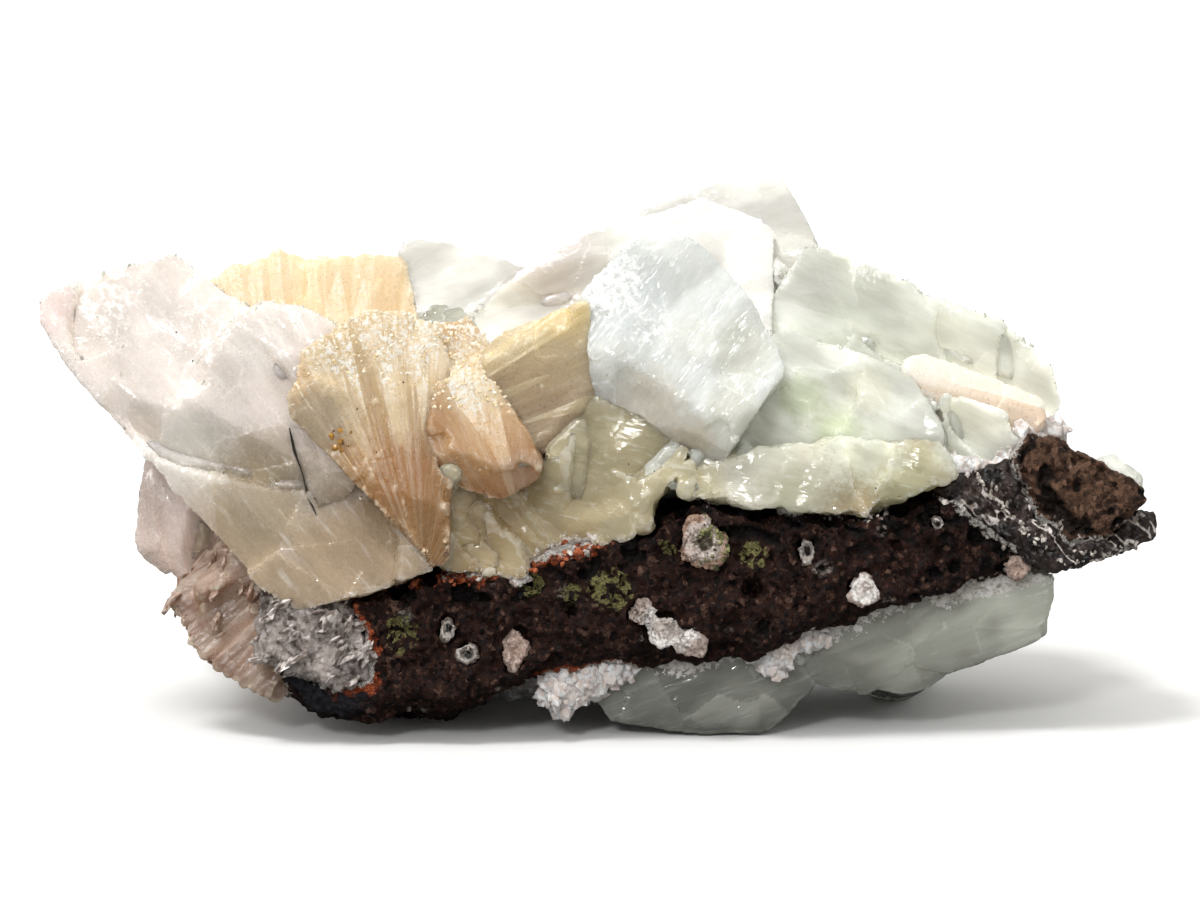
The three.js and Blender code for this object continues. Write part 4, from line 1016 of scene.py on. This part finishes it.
def heulandite(name, pale, deep, dark=None):
    """Heulandite druse: snow white to pinkish, of small pearly crystals whose faces catch the light. Where
    dark is given, it only veins the dark rock."""
    m, add, skin, place = material(name)
    clouds = add("TexNoise", place, Scale=0.3, Detail=3.0, Roughness=0.7)
    grains, each = splintered(add, place, 1.4, 0.8)
    level = add("Math MULTIPLY_ADD", each, 0.3, clouds)
    tone = add("ValToRGB", level, stops=((0.46, deep), (0.72, pale)))
    if dark:
        wander = add("TexNoise", add("Mapping", place, None, (0, 0.8, 0), (3, 1, 1), vector_type="TEXTURE"),
                     Scale=0.13, Detail=3.0, Roughness=0.6)
        vein = add("Math ABSOLUTE", add("Math SUBTRACT", wander, 0.5))
        rock_share = add("MapRange", vein, 0.01, 0.022)
        rock_tone = add("ValToRGB", clouds, stops=((0.4, dark), (0.62, "#3a2a24")))
        tone = add("Mix RGBA", rock_share, tone, rock_tone)
    put(skin, Base_Color=tone, Roughness=0.5 if dark else 0.28, IOR=1.5,
        Transmission_Weight=0.0 if dark else 0.15, Subsurface_Weight=0.0 if dark else 1.0,
        Subsurface_Radius=(0.002, 0.0018, 0.0016), Subsurface_Scale=1.0,
        Normal=grains)
    return m


druse = heulandite("heulandite druse white", "#ffffff", "#e6d6ce")
vein = heulandite("heulandite vein in basalt", "#d9d1cb", "#8c7d75", dark="#120b09")
plates = heulandite("heulandite plates grey", "#b0a6a1", "#564c47")
for source, look in (
    ("heulandite_vein", vein),
    ("heulandite_right_druse", druse),
    ("heulandite_left_plates", plates),
    ("heulandite_front_crust", druse),
    ("heulandite_right_crust", druse),
    ("heulandite_back_crust", druse),
):
    piece = loose(source + "_druse", source, DRUSE_CELL, sharp=False)
    relief(piece, "VORONOI", 0.0022, 0.0016)
    relief(piece, "CLOUDS", 0.001, 0.0006, noise_depth=1)
    thinned(piece, DRUSE_MOST)
    above_floor(piece)
    done(piece, look, "heulandite", source, edge=40)


# ---------------------------------------------------------------------------------------------------------
# Grains that are grown fast: the torn seam under the crystals, with its red clay, the sugar on the stilbite's
# tips, the small crystals of the druses, the thin plates at the lower left, chips, specks and crumbs.
# Each is a broken crystal of twenty faces.
bpy.ops.mesh.primitive_ico_sphere_add(subdivisions=1, radius=1)
grain = bpy.context.object
GRAIN_POINTS = np.array([v.co for v in grain.data.vertices])
GRAIN_FACES = np.array([f.vertices for f in grain.data.polygons])
bpy.data.objects.remove(grain)


def drawn(name, look, at, faces):
    """A new piece from its points, in mm along the broken front, and its faces."""
    mesh = bpy.data.meshes.new(name)
    mesh.from_pydata(at.tolist(), [], faces)
    mesh.materials.append(look)
    piece = bpy.data.objects.new(name, mesh)
    bpy.context.scene.collection.objects.link(piece)
    moved(piece, at)
    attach(piece, "root")
    return piece


def strewn(name, look, on, count, sizes, shape=(1, 1, 0.7), seed=1, pick=None, lie=0.0, swing=3.0):
    """Sets count grains on the surface of the piece called on, where pick allows. sizes are their least and
    greatest radius in mm, shape their length, depth and thickness, lie the slope of their length in the
    front's plane and swing how far each turns away from it."""
    at, out = points(bpy.data.objects[on])
    where = np.flatnonzero(pick(at, out) if pick else out[:, 1] < 0.3)
    chance = np.random.default_rng(seed)
    random.seed(seed)
    spots = at[chance.choice(where, count)]
    radii = chance.uniform(*sizes, count)
    co = []
    for place, radius in zip(spots, radii):
        own = Euler([random.uniform(-swing, swing) for _ in range(3)])
        turn = Euler((0, -lie, 0)).to_matrix() @ own.to_matrix()
        corners = GRAIN_POINTS * chance.uniform(0.6, 1.15, (len(GRAIN_POINTS), 1)) * shape * radius
        co.append(corners @ np.array(turn).T + place)
    faces = np.concatenate([GRAIN_FACES + i * len(GRAIN_POINTS) for i in range(count)])
    above_floor(drawn(name, look, np.concatenate(co), faces.tolist()))


def grit(name, pale, deep, clear=0.0, gloss=0.3):
    """Grains of one mineral, from pale to deep."""
    m, add, skin, place = material(name)
    change = add("TexNoise", place, Scale=0.8, Detail=1.0)
    tone = add("ValToRGB", change, stops=((0.4, deep), (0.6, pale)))
    put(skin, Base_Color=tone, Roughness=gloss, IOR=1.5, Transmission_Weight=clear)
    return m


def touching(least, most):
    """Which of the slab's points lie between least and most mm from the nearest crystal."""
    gap = np.empty(len(slab.data.vertices), np.float32)
    slab.data.attributes["gap"].data.foreach_get("value", gap)
    return (gap > least) & (gap < most)


white_grit = grit("zeolite seam grains", "#d8d0c8", "#8d847b")
clay_grit = grit("red clay crumbs", "#b0603a", "#5c2412", gloss=0.8)
strewn("zeolite_seam_grains", white_grit, "basalt_slab_broken", 900, (0.25, 0.9),
       pick=lambda at, out: touching(0.2, 1.7) & (out[:, 1] < -0.1) & (at[:, 0] > -42))
strewn("red_clay_crumbs", clay_grit, "basalt_slab_broken", 420, (0.3, 1.0), seed=2,
       pick=lambda at, out: touching(0.3, 2.6) & (out[:, 1] < 0) & (abs(at[:, 0] + 22) < 28)
       & (at[:, 2] > 22))
sugar = grit("stilbite sugar", "#fff8e8", "#ecd3a6", gloss=0.2)
strewn("stilbite_sheaf_sugar", sugar, "stilbite_sheaf_bladed", 420, (0.15, 0.5), seed=3,
       pick=lambda at, out: (at[:, 2] > 64) & (out[:, 1] < 0.2))
strewn("stilbite_neck_sugar", sugar, "stilbite_peach_blade_bladed", 520, (0.2, 0.6), seed=4,
       pick=lambda at, out: (at[:, 2] > 58) & (out[:, 1] < 0.2))
snow = grit("heulandite crystals white", "#ffffff", "#f0e2da", clear=0.2, gloss=0.12)
for source, count in (
    ("heulandite_right_druse", 200),
    ("heulandite_front_crust", 110),
    ("heulandite_right_crust", 70),
):
    strewn(source + "_crystals", snow, source + "_druse", count, (0.7, 1.9), (1, 0.8, 0.45), 5)
flakes = grit("heulandite plates grey white", "#ded5d0", "#7a6d66", clear=0.1, gloss=0.2)
strewn("heulandite_left_plates_crystals", flakes, "heulandite_left_plates_druse", 110,
       (1.2, 3.0), (1, 1, 0.3), 6, lie=0.6, swing=0.6)
straws = grit("stilbite brown peach plates", "#d9c3b4", "#a07c68", clear=0.1, gloss=0.25)
strewn("stilbite_lower_left_plates", straws, "stilbite_lower_left_bladed", 90,
       (1.2, 3.0), (1.1, 1, 0.3), 7, lie=0.9, swing=0.5)
glass = grit("apophyllite chips", "#fbfcf4", "#d9dccb", clear=0.4, gloss=0.08)
for source, count, height in (
    ("apophyllite_right_block", 420, 64),
    ("apophyllite_front_crystal", 160, 72),
    ("apophyllite_left_block", 260, 60),
    ("apophyllite_green_pair", 120, 55),
):
    strewn(source + "_chips", glass, source + "_grown", count, (0.2, 0.8),
           (1, 0.6, 0.35),
           8, lambda at, out: (out[:, 2] > 0.35) & (out[:, 1] > -0.8) & (out[:, 1] < 0.5) & (at[:,
                               2] > height))
pepper = grit("manganese specks", "#2a241d", "#14110d", gloss=0.6)
for source, count in (
    ("apophyllite_left_block_grown", 26),
    ("stilbite_back_ledge_bladed", 22),
    ("stilbite_sheaf_bladed", 20),
    ("apophyllite_centre_base_grown", 24),
    ("stilbite_peach_blade_bladed", 12),
):
    strewn(source + "_specks", pepper, source, count, (0.1, 0.28), seed=count)
amber = grit("iron-stained crumbs", "#b5853a", "#5e3d14", gloss=0.3)
strewn("iron_stained_crumbs", amber, "stilbite_sheaf_bladed", 60, (0.3, 0.8), seed=10,
       pick=lambda at, out: np.hypot(at[:, 0] + 45.5, at[:, 2] - 52.5) < 2.2)
olive = grit("celadonite crumbs", "#8d8a5c", "#37361f", gloss=0.6)
strewn("olive_nodule_crumbs", olive, "zeolite_nodule_1_filling", 90, (0.25, 0.8), seed=11,
       pick=lambda at, out: at[:, 0] > 17.5)

# The leaf in the left block's corner, and beside it a dark strip of painted shadow along the leaf's edge.
behind = widest(bridged, 1.4, np.maximum)


def slip(name, look, outline, rise, width=None):
    """A thin grown-in crystal: its outline, as x and z in mm, lies on the front, and its middle rises from
    it. With a width it is a strip along that line."""
    line = np.array(outline, float)
    if width:
        line = np.concatenate([line - (width / 2, 0), line[::-1] + (width / 2, 0)])
    middle = line.mean(0)
    at = np.array([(x, 0, z) for x, z in [*line, middle, middle]], float)
    at[:, 1] = behind[cells(at)] + 0.2
    at[-2, 1] = at[:-2, 1].mean() - rise
    at[-1, 1] += 3
    if width:
        at[:-2, 1] -= rise + 0.5
    n = len(line)
    faces = [(i, (i + 1) % n, n) for i in range(n)] + [((i + 1) % n, i, n + 1) for i in range(n)]
    plainly_marked(drawn(name, look, at, faces), gap=CLEAR_OF_ROCK, facet=0.3, step=0.5)


slip("apophyllite_leaf", pink, (
    (-55, 55), (-51.5, 54), (-45, 51), (-42.7, 49.5), (-42.5, 46.5), (-44, 43), (-47, 40.3), (-50, 39),
    (-51.5, 42), (-52.5, 46), (-54, 49.5)
), 0.5)
# Painted shadow: a dark strip along the leaf's left edge.
slip("shadow_strip_beside_leaf", pepper, (
    (-55, 54.5), (-54.3, 50.4), (-53.2, 48), (-52.3, 45), (-51.9, 42.5), (-50.2, 39)
), 0.15, width=0.22)

# The white vein, where the two lumps of basalt were cracked apart.
line = np.array(((65, 47), (69, 44), (73, 39), (78, 34), (82, 31), (88, 32), (95, 33.5)))
steps = np.concatenate([np.linspace(p, q, 12) for p, q in zip(line[:-1], line[1:])])
near_line = finder([(x, 0, z) for x, z in steps])


def along_vein(at, out):
    """Which points face the front and lie within about 1 mm of the vein."""
    away = [near_line.find((x, 0, z))[2] - 0.9 * noise.noise((x / 3, 0, z / 3)) for x, y, z in at]
    return (out[:, 1] < 0) & (np.array(away) < 1.1)


for on in ("heulandite_vein_druse", "basalt_slab_broken"):
    strewn(on + "_vein_grains", white_grit, on, 420, (0.25, 0.9), (1, 0.7, 0.5), 12, along_vein)
